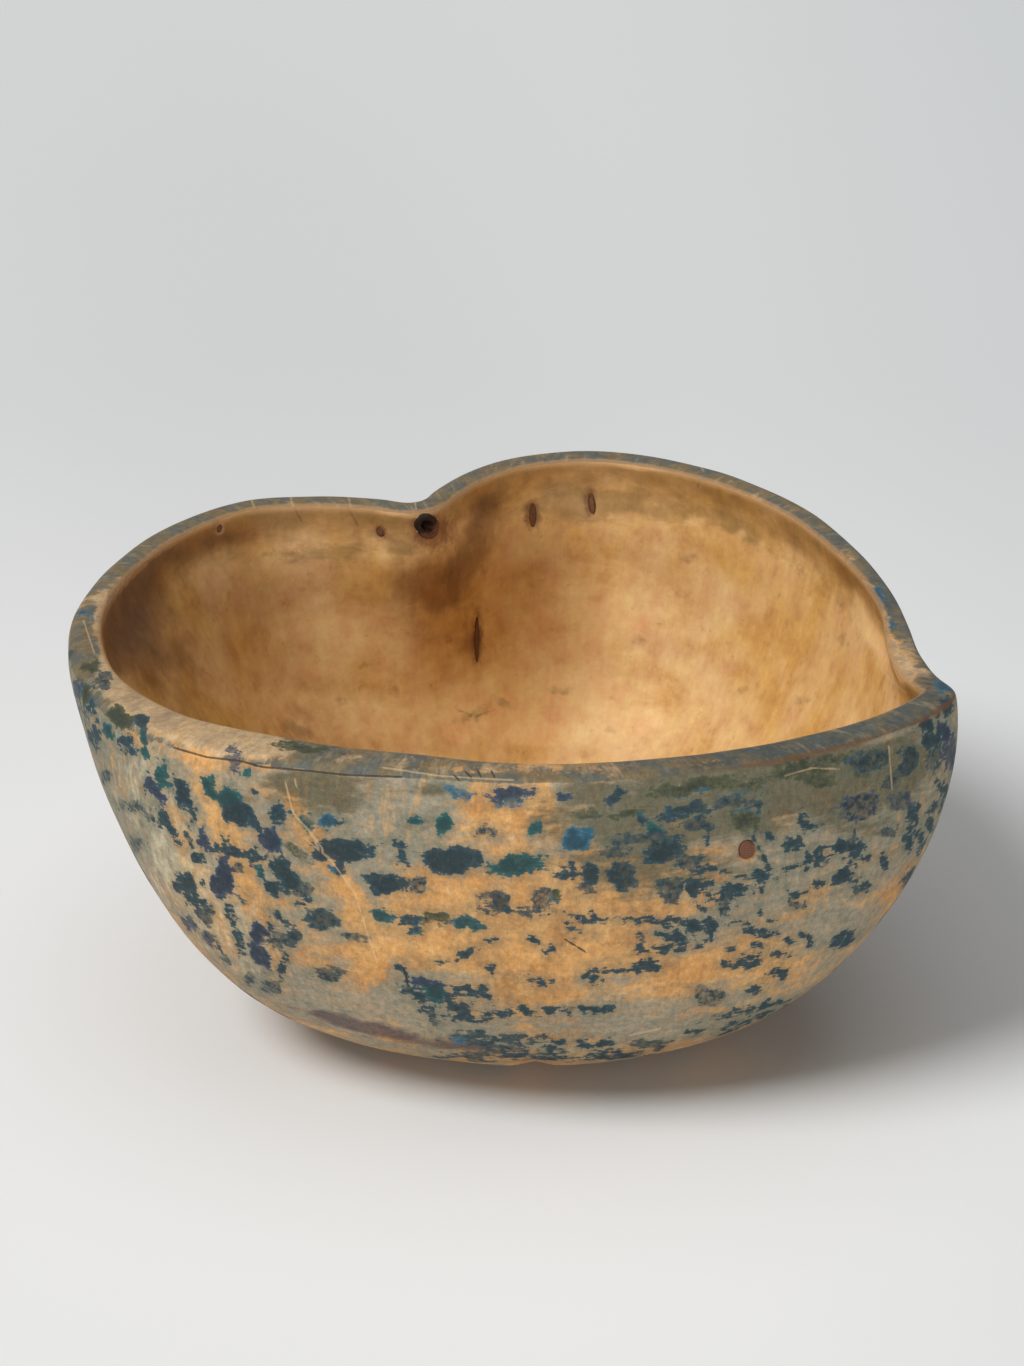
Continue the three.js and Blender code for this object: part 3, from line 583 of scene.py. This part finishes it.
def oiled_burl():
    """The same burl inside the bowl, scraped and oiled. The eye gets amber clouds, painted shadow of the left
    rim and the cleft ridge over a little dark heartwood, painted shade along the top of the inner wall, a
    greyer band above the ledge that is partly painted shade, pale worn places, and painted light and highlights
    on the middle, the left and the ledge."""
    colours = bpy.context.scene.bowl_colours
    worn_wide = bpy.context.scene.bowl_sizes.rim_wear / MM
    material, tree, place = new_material("oiled_burl")
    around = add_node(tree, "Attribute", out="Vector", attribute_name="around")
    fibre = add_node(tree, "VectorMath", {0: around, 1: (1.0, 1.0, 0.2)}, operation="MULTIPLY")
    along = add_node(tree, "VectorMath", {0: around, 1: (0.4, 0.4, 1.0)}, operation="MULTIPLY")
    cloud = add_node(tree, "TexNoise", {"Vector": place, "Scale": 0.03, "Detail": 5, "Distortion": 0.4})
    cloudy = add_node(tree, "MapRange", {0: cloud, 1: 0.36, 2: 0.64})
    colour = add_node(tree, "Mix", {0: cloudy, 6: colours.inside, 7: linear("#ca9c58")}, 2, data_type="RGBA")
    colour = lay_over(tree, colour, (
        ("#b37c40", "inside", place, 0.11, 2.4, 1.1, 1.6, 0.5),
        ("#d8ac80", "inside", place, 0.16, 2.4, 1.15, 1.6, 0.5),
        ("#dcb588", "inside", along, 0.08, 1.8, 1.1, 1.6, 0.4),
        ("#8f6a3e", "inside", fibre, 0.15, 2.2, 1.2, 1.7, 0.3),
        # Painted shade: the top of the inner wall is darker, where it gets less light.
        ("#7d5c2e", "painted_top_shade", along, 0.1, 1.0, 0.2, 1.0, 0.75),
        # Greyer wood above the ledge, with painted shade in the cove under the rim.
        ("#8a6c3d", "cove_grey_and_shade", along, 0.12, 2.0, 0.25, 0.9, 0.65),
        # Pale worn wood, with painted highlights on the ledge and painted light over the middle and the left.
        ("#ebc288", "pale_wear_and_light", along, 0.1, 1.4, 0.3, 1.0, 0.75),
        # Painted shadow of the left rim and the cleft ridge, in two steps, over a little dark heartwood.
        ("#84592f", "painted_shadow", place, 0.06, 1.0, 0.1, 0.7, 0.7),
        (colours.painted_shadow, "painted_shadow", place, 0.07, 1.0, 0.45, 1.1, 0.75),
        ("#6d432b", "knotty", place, 0.3, 1.0, 0.3, 0.9, 0.75),
        ("#70563a", "inside", place, 0.22, 3.0, 1.35, 1.75, 0.25)))
    stroke = add_node(tree, "TexNoise", {"Vector": fibre, "Scale": 0.25, "Detail": 6, "Roughness": 0.7})
    grit = add_node(tree, "TexNoise", {"Vector": place, "Scale": 0.09, "Detail": 9, "Roughness": 0.66})
    shades = add_node(tree, "Math", {0: stroke, 1: 0.3, 2: grit}, operation="MULTIPLY_ADD")
    shades = add_node(tree, "MapRange", {0: shades, 1: 0.4, 2: 0.9, 3: 0.15, 4: 0.85})
    colour = add_node(tree, "Mix", {0: 0.45, 6: colour, 7: shades}, 2, data_type="RGBA", blend_type="OVERLAY")
    colour = lay_over(tree, colour, (
        ("#5b4431", "dab", place, 0.5, 3.0, -1.8, 1.2, 0.4),
        ("#e2c59f", thin_line(tree, "scrape", 2.4), place, 0.3, 1.0, 0.1, 0.9, 0.25),
        ("#5a3b26", thin_line(tree, "crack", 2.4), place, 0.5, 1.2, 0.1, 0.9, 0.4),
        ("#a98257", "inner_edge", place, 0.25, 2.4, -worn_wide - 0.8, 0.8 - worn_wide, 0.6)))
    gloss = add_node(tree, "MapRange", {0: cloud, 1: 0.3, 2: 0.7, 3: 0.5, 4: 0.64})
    finish_material(tree, colour, gloss, shades, 0.25 * MM)
    return material


def knot_grain():
    """End grain of a small knot, harder and redder than the burl. The eye gets fine rings round its heart,
    and near-black wood round and in the hole: the rotted heart, and painted shade of the deep hole."""
    material, tree, place = new_material("knot_grain")
    ring = add_node(tree, "Attribute", out="Fac", attribute_name="ring")
    rot_and_hole_shade = add_node(tree, "Attribute", out="Fac", attribute_name="rot_and_hole_shade")
    wander = add_node(tree, "TexNoise", {"Vector": place, "Scale": 0.35, "Detail": 3})
    turn = add_node(tree, "Math", {0: wander, 1: 1.6, 2: ring}, operation="MULTIPLY_ADD")
    phase = add_node(tree, "Math", {0: turn, 1: 2 * math.pi / RING_WIDE}, operation="MULTIPLY")
    wave = add_node(tree, "Math", {0: phase}, operation="SINE")
    rings = add_node(tree, "MapRange", {0: wave, 1: -1.0, 2: 1.0})
    tints = {0: rings, 6: linear("#6f4832"), 7: linear("#523524")}
    colour = add_node(tree, "Mix", tints, 2, data_type="RGBA")
    # Near-black round and in the hole: rotted heart, and painted shade of the deep hole.
    colour = add_node(tree, "Mix", {0: rot_and_hole_shade, 6: colour, 7: linear("#1d110c")}, 2, data_type="RGBA")
    finish_material(tree, colour, 0.7, rings, 0.08 * MM)
    return material


def ledge_bark():
    """Ingrown bark, dry and crumbly. The eye gets dark grey-brown flakes with lighter dusty edges."""
    material, tree, place = new_material("ledge_bark")
    flake = add_node(tree, "TexVoronoi", {"Vector": place, "Scale": 0.7})
    dust = add_node(tree, "TexNoise", {"Vector": place, "Scale": 1.6, "Detail": 3})
    share = add_node(tree, "MapRange", {0: dust, 1: 0.4, 2: 0.65})
    tints = {0: share, 6: linear("#5e4029"), 7: linear("#7a5233")}
    colour = add_node(tree, "Mix", tints, 2, data_type="RGBA")
    finish_material(tree, colour, 0.85, flake, 0.3 * MM)
    return material


def studio_paper():
    """Seamless matt paper. The eye gets a pale sweep that greys with distance and to the right, as painted
    shade where the light falls off.
    """
    colour = bpy.context.scene.bowl_colours.floor
    material, tree, place = new_material("studio_paper")
    # Painted shade: the paper greys towards the back and to the right, where the light falls off.
    for axis, start, end, most, tint in (("Y", -120, 700, 1.0, "#d3d4d4"), ("X", 0, 600, 0.7, "#bfc4c6")):
        along = add_node(tree, "SeparateXYZ", {0: place}, axis)
        limits = {0: along, 1: start, 2: end, 4: most}
        share = add_node(tree, "MapRange", limits, interpolation_type="SMOOTHSTEP")
        colour = add_node(tree, "Mix", {0: share, 6: colour, 7: linear(tint)}, 2, data_type="RGBA")
    shader = add_node(tree, "BsdfPrincipled", {"Base Color": colour, "Roughness": 0.9, "IOR": 1.4})
    add_node(tree, "OutputMaterial", {"Surface": shader})
    return material


def through_camera(points):
    """Where points of the object, in metres, fall in the photograph, and how far away they are."""
    sight = points - np.array(CAMERA_PLACE)
    away = sight @ np.array((0, math.cos(CAMERA_TILT), -math.sin(CAMERA_TILT)))
    rise = sight @ np.array((0, math.sin(CAMERA_TILT), math.cos(CAMERA_TILT)))
    across = PHOTO_WIDE / 2 + FOCAL_PIXELS * sight[:, 0] / away
    down = PHOTO_HIGH / 2 - FOCAL_PIXELS * rise / away
    return across, down, np.linalg.norm(sight, axis=1)


def turned(across, down, x, y, tilt):
    """Places measured from the middle of a mark, along it and across it."""
    turn = math.radians(tilt)
    side = (across - x) * math.cos(turn) + (down - y) * math.sin(turn)
    up = (down - y) * math.cos(turn) - (across - x) * math.sin(turn)
    return side, up


def cloud_field(clouds, across, down):
    """The strength of soft clouds at each place."""
    field = np.zeros(len(across))
    for x, y, wide, high, tilt, strength in clouds:
        side, up = turned(across, down, x, y, tilt)
        field += strength * np.exp(-((side / wide) ** 2 + (up / high) ** 2))
    return np.clip(field, 0, 1)


def dab_rows(dabs, pigment):
    """Dabs with the tilt and wear of 0 that their rows may leave out, and with their pigment."""
    return [(*row, *(0, 0)[len(row) - 4:], pigment) for row in dabs]


def dab_field(rows, across, down, marks):
    """Puts dabs on the marks, whose rows say how far inside its nearest dab each place is, and that dab's
    pigment and wear."""
    for x, y, wide, high, tilt, worn, pigment in rows:
        side, up = turned(across, down, x, y, tilt)
        half = min(wide, high) / 2
        share = (np.abs(side) * 2 / wide) ** SQUARENESS + (np.abs(up) * 2 / high) ** SQUARENESS
        share = share ** (1 / SQUARENESS)
        inside = (1 - share) * half + SMALL_DAB / (half + 1)
        nearer = inside > marks[0]
        marks[0, nearer] = inside[nearer]
        marks[1, nearer] = pigment
        marks[2, nearer] = worn


def line_fields(lines, across, down):
    """How far to one side of the nearest scratch each place is, in photo pixels, and how near it is: 1 on the
    scratch and 0 from LINE_WIDE pixels away. The side crosses zero on the scratch, which keeps it thin."""
    near = np.full(len(across), LINE_WIDE)
    side = np.full(len(across), LINE_WIDE)
    for line in lines:
        for (x, y), (to_x, to_y) in zip(line, line[1:]):
            length = math.hypot(to_x - x, to_y - y)
            share = np.clip(((across - x) * (to_x - x) + (down - y) * (to_y - y)) / length ** 2, 0, 1)
            away = np.hypot(across - x - share * (to_x - x), down - y - share * (to_y - y))
            nearer = away < near
            near[nearer] = away[nearer]
            side[nearer] = (((across - x) * (to_y - y) - (down - y) * (to_x - x)) / length)[nearer]
    return side, 1 - near / LINE_WIDE


def read_points(mesh):
    """The points and normals of a mesh."""
    points = np.empty(len(mesh.vertices) * 3, dtype=np.float32)
    normals = np.empty_like(points)
    mesh.vertices.foreach_get("co", points)
    mesh.vertex_normals.foreach_get("vector", normals)
    return points.reshape(-1, 3).astype(float), normals.reshape(-1, 3).astype(float)


def read_faces(mesh):
    """Where each face of a mesh starts in the list of corners, and the point at each corner."""
    starts = np.empty(len(mesh.polygons), dtype=np.int32)
    corners = np.empty(len(mesh.loops), dtype=np.int32)
    mesh.polygons.foreach_get("loop_start", starts)
    mesh.loops.foreach_get("vertex_index", corners)
    return starts, corners


def distance_to(points, chosen, wanted):
    """How far each wanted point is from the nearest of the chosen ones, and EDGE_REACH for all others."""
    places = np.flatnonzero(chosen)
    tree = kdtree.KDTree(len(places))
    for index, place in enumerate(places):
        tree.insert(points[place], index)
    tree.balance()
    away = np.full(len(points), EDGE_REACH)
    for place in np.flatnonzero(wanted):
        away[place] = min(EDGE_REACH, tree.find(points[place])[2])
    return away


def rim_drop(points, turn):
    """How far each point lies below the rim above it."""
    share = (turn + math.pi) / (2 * math.pi) * RIM_BINS
    top = np.zeros(RIM_BINS)
    np.maximum.at(top, share.astype(int) % RIM_BINS, points[:, 2])
    return np.interp(share, np.arange(RIM_BINS) + 0.5, top, period=RIM_BINS) - points[:, 2]


def hidden_dabs(points, normals, free, marks):
    """Seeded dabs on the parts of the wall that the photograph doesn't show, laid out in millimetres."""
    chance = np.random.default_rng(HIDDEN_SEED)
    places = np.flatnonzero(free)
    turn = np.arctan2(points[places, 1], points[places, 0])
    pigments = (DARK, DARK, DARK, DARK, TEAL, TEAL, INDIGO, BLUE, GREEN)
    for _ in range(HIDDEN_DABS):
        bearing = chance.uniform(-math.pi, math.pi)
        height = chance.uniform(HIDDEN_FROM, HIDDEN_TO)
        aside = AROUND_RADIUS * MM * np.abs((turn - bearing + math.pi) % (2 * math.pi) - math.pi)
        apart = np.hypot(aside, points[places, 2] - height)
        spot = places[np.argmin(apart)]
        level = np.array((-normals[spot, 1], normals[spot, 0], 0))
        level /= max(np.linalg.norm(level), MM)
        upward = np.cross(normals[spot], level)
        high = chance.uniform(0.9, 2.8) * (1.0 + 1.4 * chance.random() ** 3)
        wide = high * chance.uniform(1.1, 3.4)
        tilt = math.degrees(chance.normal(0, 0.22))
        worn = max(0.0, chance.uniform(-0.5, 0.8))
        if apart.min() > HIDDEN_GAP:
            continue
        shift = (points[places] - points[spot]) / MM
        side = shift @ level
        up = shift @ upward
        near = (np.abs(side) < HIDDEN_REACH) & (np.abs(up) < HIDDEN_REACH)
        near &= np.abs(shift @ normals[spot]) < HIDDEN_REACH / 2
        pigment = pigments[chance.integers(len(pigments))]
        found = marks[:, places[near]]
        dab_field(((0, 0, wide * 2, high * 2, tilt, worn, pigment),), side[near], up[near], found)
        marks[:, places[near]] = found


def bowl_fields(mesh):
    """The points of the bowl, their normals and how well the photograph shows them, and every field of its
    materials: where it is rim, wall or hollow, and what lies on it."""
    points, normals = read_points(mesh)
    flat = normals[:, 2]
    turn = np.arctan2(points[:, 1], points[:, 0])
    away = np.maximum(np.hypot(points[:, 0], points[:, 1]), MM)
    outward = (normals[:, 0] * points[:, 0] + normals[:, 1] * points[:, 1]) / away
    drop = rim_drop(points, turn)
    high = drop < RIM_DROP
    on_rim = (flat > RIM_FLAT) & high
    inside = ~on_rim & (((outward < 0) & (flat > -FLOOR_FLAT)) | ((flat > FLOOR_FLAT) & ~high))
    wall = ~inside
    edge = (flat > EDGE_FLAT_FROM) & (flat < EDGE_FLAT_TO) & high
    outer_edge = distance_to(points, edge & (outward > EDGE_TURN), drop < EDGE_REACH)
    inner_edge = distance_to(points, edge & (outward < -EDGE_TURN), drop < EDGE_REACH)
    across, down, sight = through_camera(points)
    facing = ((np.array(CAMERA_PLACE) - points) * normals).sum(axis=1) / sight
    seen = smooth(SEEN_FROM, SEEN_WELL, facing)
    # Without a seed the noise that makes the edges waver would start from the clock.
    noise.seed_set(WAVER_SEED)
    waver = np.array([
        sum((size * noise.noise_vector(Vector(point) / length) for size, length in WAVERS), Vector())
        for point in points])
    blur_across = across + waver[:, 0]
    blur_down = down + 0.8 * waver[:, 1]
    millimetres = sight / FOCAL_PIXELS / MM

    def seen_clouds(clouds):
        """The strength of soft clouds where the photograph shows the bowl."""
        return seen * cloud_field(clouds, across, down)

    # How far inside a dab each point is, and the dab's pigment and wear.
    marks = np.zeros((3, len(points)))
    marks[0] = NO_DAB
    shown = wall & (seen > 0)
    found = marks[:, shown]
    rows = [row for pigment, dabs in DABS.items() for row in dab_rows(dabs, pigment)]
    dab_field(rows, blur_across[shown], blur_down[shown], found)
    found[0] = found[0] * millimetres[shown] - GRAZING_LOSS * (1 - seen[shown])
    marks[:, shown] = found
    hidden_dabs(points, normals, wall & ~on_rim & (seen < HIDDEN_SEEN), marks)
    found = marks[:, inside]
    dab_field(dab_rows(INSIDE_SPOTS, DARK), blur_across[inside], blur_down[inside], found)
    marks[0, inside] = found[0] * millimetres[inside]

    wall_cracks = line_fields(WALL_CRACKS, across, down)
    inside_cracks = line_fields(INSIDE_CRACKS, across, down)
    wall_scrapes = line_fields(WALL_SCRAPES, across, down)
    inside_scrapes = line_fields(INSIDE_SCRAPES, across, down)
    worn = seen_clouds(BARE_RIM)
    washed = 0.36 + 0.27 * (1 - smooth(8 * MM, 60 * MM, drop)) - 0.14 * seen
    washed += 0.75 * seen_clouds(WASH_CLOUDS) - 0.7 * seen_clouds(BARE_WALL) - 0.6 * worn
    hidden_olive = 0.5 * (1 - seen) * (1 - smooth(6 * MM, 26 * MM, drop))
    brown = 0.4 * (1 - seen) + seen_clouds(BROWN_EDGE)
    return points, normals, seen, {
        "inside": inside * 1.0,
        "outside": wall * 1.0,
        "outer_edge": -outer_edge / MM - 3 * (1 - brown),
        "inner_edge": -inner_edge / MM,
        "dab": np.maximum(marks[0], LEAST_DAB),
        "tone": marks[1],
        "wear": marks[2] * wall,
        "wash": np.clip(washed, 0, 1) * wall,
        "rim_paint": smooth(0.35, 0.75, flat) * high * (1 - worn) * wall,
        "rim_bare": worn * wall * (1 - smooth(2 * MM, 9 * MM, drop)),
        "rim_dark": np.clip(seen_clouds(RIM_DARK) + 0.3 * (1 - seen), 0, 1),
        "stain": seen_clouds(STAIN_CLOUDS) * wall,
        "fleck": wall * (0.18 + 0.12 * (1 - seen)) * (drop > 6 * MM),
        "olive": np.clip(seen_clouds(OLIVE_CLOUDS) + hidden_olive, 0, 1) * wall,
        # Greyer wood and painted shade in the cove above the ledge.
        "cove_grey_and_shade": seen_clouds(COVE_GREY_AND_SHADE_CLOUDS) * inside,
        # Painted shade along the top 34 mm of the inner wall.
        "painted_top_shade": (1 - smooth(0, 34 * MM, drop)) * inside,
        # Inside: pale worn wood, painted highlights and painted light. On the wall: painted light at the left.
        "pale_wear_and_light": np.where(inside, seen_clouds(PALE_WEAR_AND_LIGHT_CLOUDS), seen_clouds(PAINTED_LIGHT_WALL)),
        # Painted shadow inside the hollow.
        "painted_shadow": seen_clouds(PAINTED_SHADOW_CLOUDS) * inside,
        "knotty": seen_clouds(KNOT_CLOUDS),
        "crack_side": np.where(inside, inside_cracks[0], wall_cracks[0]),
        "crack_near": np.where(inside, inside_cracks[1], wall_cracks[1]) * seen,
        "scrape_side": np.where(inside, inside_scrapes[0], wall_scrapes[0]),
        "scrape_near": np.where(inside, inside_scrapes[1], wall_scrapes[1]) * seen,
        "around": np.stack((AROUND_RADIUS * np.cos(turn), AROUND_RADIUS * np.sin(turn),
                            np.where(on_rim, -outer_edge, drop) / MM), axis=1),
    }


def merged_copy(node, crease):
    """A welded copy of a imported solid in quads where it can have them, with its sharp edges creased."""
    work = bmesh.new()
    work.from_mesh(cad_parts[node].data)
    bmesh.ops.remove_doubles(work, verts=work.verts, dist=WELD)
    bmesh.ops.join_triangles(work, faces=work.faces, angle_face_threshold=math.radians(40),
                             angle_shape_threshold=math.radians(60))
    layer = work.edges.layers.float.new("crease_edge")
    for edge in work.edges:
        if edge.is_manifold and edge.calc_face_angle() > SHARP:
            edge[layer] = crease
    return work


def add_piece(name, work, nodes):
    """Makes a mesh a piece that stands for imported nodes. It is subdivided for good, so that its fields lie on
    the finished points."""
    mesh = bpy.data.meshes.new(name)
    work.to_mesh(mesh)
    work.free()
    piece = bpy.data.objects.new(name, mesh)
    bpy.context.scene.collection.objects.link(piece)
    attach(piece, "root")
    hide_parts(*nodes)
    finer = piece.modifiers.new("finer", "SUBSURF")
    finer.levels = 2
    finer.render_levels = 2
    graph = bpy.context.evaluated_depsgraph_get()
    piece.data = bpy.data.meshes.new_from_object(piece.evaluated_get(graph))
    piece.modifiers.clear()
    bpy.data.meshes.remove(mesh)
    piece.data.name = name
    return piece.data


def refine(mesh, near):
    """Cuts each face with a point near a mark in four."""
    starts, corners = read_faces(mesh)
    wanted = np.logical_or.reduceat(near[corners], starts)
    work = bmesh.new()
    work.from_mesh(mesh)
    work.faces.ensure_lookup_table()
    work.edges.index_update()
    edges = {edge for index in np.flatnonzero(wanted) for edge in work.faces[index].edges}
    edges = sorted(edges, key=lambda edge: edge.index)
    bmesh.ops.subdivide_edges(work, edges=edges, cuts=1, use_grid_fill=True)
    work.to_mesh(mesh)
    work.free()


def finish_mesh(mesh, points, fields, materials):
    """Moves the points of a mesh, keeps its fields on it and gives it its materials."""
    mesh.vertices.foreach_set("co", points.astype(np.float32).ravel())
    mesh.update()
    for name, values in fields.items():
        kind, part = ("FLOAT_VECTOR", "vector") if values.ndim == 2 else ("FLOAT", "value")
        layer = mesh.attributes.new(name, kind, "POINT")
        layer.data.foreach_set(part, values.astype(np.float32).ravel())
    mesh.materials.clear()
    for material in materials:
        mesh.materials.append(material)
    mesh.shade_smooth()
    drawn = len(mesh.loops) - 2 * len(mesh.polygons)
    if drawn > TRIANGLE_LIMIT:
        raise RuntimeError(f"{mesh.name} has {drawn} triangles")


class ROOT_OT_stage(bpy.types.Operator):
    """Sets up the camera, the soft lamps and the pale paper floor"""
    bl_idname = "root_bowl.stage"
    bl_label = "Stage"

    def execute(self, context):
        scene = context.scene
        scene.view_settings.view_transform = "Standard"
        camera = bpy.data.objects.new("camera", bpy.data.cameras.new("camera"))
        camera.data.lens = LENS
        camera.data.sensor_width = SENSOR
        camera.location = CAMERA_PLACE
        camera.rotation_euler = (math.pi / 2 - CAMERA_TILT, 0, 0)
        scene.collection.objects.link(camera)
        scene.camera = camera
        for name, strength, angle, turn in LAMPS:
            lamp = bpy.data.lights.new(name, "SUN")
            lamp.energy = strength
            lamp.angle = math.radians(angle)
            holder = bpy.data.objects.new(name, lamp)
            holder.rotation_euler = [math.radians(value) for value in turn]
            scene.collection.objects.link(holder)
        # The studio's air gives a little light, and looks like the far end of the paper sheet.
        world = bpy.data.worlds.new("studio_air")
        world.use_nodes = True
        tree = world.node_tree
        tree.nodes.clear()
        ray = add_node(tree, "LightPath").node.outputs
        seen = add_node(tree, "Math", {0: ray["Is Camera Ray"], 1: ray["Is Glossy Ray"]}, operation="MAXIMUM")
        seen = add_node(tree, "Math", {0: seen, 1: ray["Is Transmission Ray"]}, operation="MAXIMUM")
        light = add_node(tree, "Background", {"Color": (1, 1, 1, 1), "Strength": AIR_LIGHT})
        sheet = add_node(tree, "Background", {"Color": linear("#d7d7d7"), "Strength": 1.0})
        both = add_node(tree, "MixShader", {0: seen, 1: light, 2: sheet})
        add_node(tree, "OutputWorld", {"Surface": both})
        scene.world = world
        work = bmesh.new()
        bmesh.ops.create_grid(work, x_segments=2, y_segments=2, size=FLOOR_SIZE)
        mesh = bpy.data.meshes.new("floor")
        work.to_mesh(mesh)
        work.free()
        floor = bpy.data.objects.new("floor", mesh)
        scene.collection.objects.link(floor)
        mesh.materials.append(studio_paper())
        return {"FINISHED"}


class ROOT_OT_bowl(bpy.types.Operator):
    """Makes the carved bowl, with its hollows, paint, scratches and wear"""
    bl_idname = "root_bowl.bowl"
    bl_label = "Bowl"

    def execute(self, context):
        sizes = context.scene.bowl_sizes
        mesh = add_piece("burl_bowl", merged_copy("bowl", 0.7), ["bowl"])
        points, _, seen, fields = bowl_fields(mesh)
        near = np.abs(fields["dab"]) < FINE_DAB
        near |= (fields["crack_near"] > FINE_CRACK) | (fields["scrape_near"] > FINE_SCRAPE)
        refine(mesh, near & (seen > 0) & (points[:, 2] > MM))
        points, normals, _, fields = bowl_fields(mesh)
        holes = np.array([sum(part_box(node), Vector()) / 2 for node in INLAYS])
        clear = np.min(np.linalg.norm(points[:, None, :] - holes[None, :, :], axis=2), axis=1)
        soft = smooth(9 * MM, 20 * MM, clear) * smooth(1 * MM, 8 * MM, points[:, 2])
        hollows = np.array([noise.noise(Vector(point) / sizes.gouge_width) for point in points])
        moved = points + normals * (soft * hollows * sizes.gouge_depth)[:, None]
        finish_mesh(mesh, moved, fields, (painted_burl(), oiled_burl()))
        starts, corners = read_faces(mesh)
        counts = np.diff(starts, append=len(corners))
        share = np.add.reduceat(fields["inside"][corners], starts) / counts
        mesh.polygons.foreach_set("material_index", (share > 0.5).astype(np.int32))
        return {"FINISHED"}


class ROOT_OT_inlays(bpy.types.Operator):
    """Makes the knots and the pieces of bark that grew into the wood"""
    bl_idname = "root_bowl.inlays"
    bl_label = "Knots and bark"

    def execute(self, context):
        materials = {"knot_wood": knot_grain(), "bark": ledge_bark()}
        for node, (slot, rough, grain, swell) in INLAYS.items():
            mesh = add_piece("grown_" + node, merged_copy(node, 0.6), [node])
            points, normals = read_points(mesh)
            middle = points.mean(axis=0)
            along = np.linalg.svd(points - middle, full_matrices=False)[2][0]
            along *= math.copysign(1, along[1])
            deep = (points - middle) @ along
            radial = points - middle - deep[:, None] * along
            ring = np.linalg.norm(radial, axis=1) / MM
            rot_and_hole_shade = np.zeros(len(points))
            if node in HOLLOW_KNOTS:
                # Rotted heart and painted shade of the hole, darkest near its middle line.
                rot_and_hole_shade = 1 - smooth(ROT_AND_SHADE_FROM, ROT_AND_SHADE_TO, ring)
                narrow = HOLE_NARROWING * smooth(-8 * MM, 2 * MM, deep) * (ring < HOLE_REACH)
                points = points - radial * narrow[:, None]
            crumbs = np.array([noise.noise(Vector(point) / grain) for point in points])
            moved = points + normals * (crumbs * rough + swell)[:, None]
            finish_mesh(mesh, moved, {"ring": ring, "rot_and_hole_shade": rot_and_hole_shade}, (materials[slot],))
        return {"FINISHED"}


class ROOT_PT_bowl(bpy.types.Panel):
    """Lists the steps that make the bowl, and its sizes and colours"""
    bl_idname = "ROOT_PT_bowl"
    bl_label = "Root Bowl"
    bl_space_type = "VIEW_3D"
    bl_region_type = "UI"
    bl_category = "Root Bowl"

    def draw(self, context):
        for step in STEPS:
            self.layout.operator(step.bl_idname)
        for group in (context.scene.bowl_sizes, context.scene.bowl_colours):
            for name in group.__annotations__:
                self.layout.prop(group, name)


STEPS = (ROOT_OT_stage, ROOT_OT_bowl, ROOT_OT_inlays)
CLASSES = (BowlSizes, BowlColours, *STEPS, ROOT_PT_bowl)


def register():
    for item in CLASSES:
        bpy.utils.register_class(item)
    bpy.types.Scene.bowl_sizes = bpy.props.PointerProperty(type=BowlSizes)
    bpy.types.Scene.bowl_colours = bpy.props.PointerProperty(type=BowlColours)


def unregister():
    del bpy.types.Scene.bowl_colours
    del bpy.types.Scene.bowl_sizes
    for item in reversed(CLASSES):
        bpy.utils.unregister_class(item)


def main():
    """Makes the whole scene."""
    register()
    bpy.ops.root_bowl.stage()
    bpy.ops.root_bowl.bowl()
    bpy.ops.root_bowl.inlays()


if __name__ == "__main__":
    main()
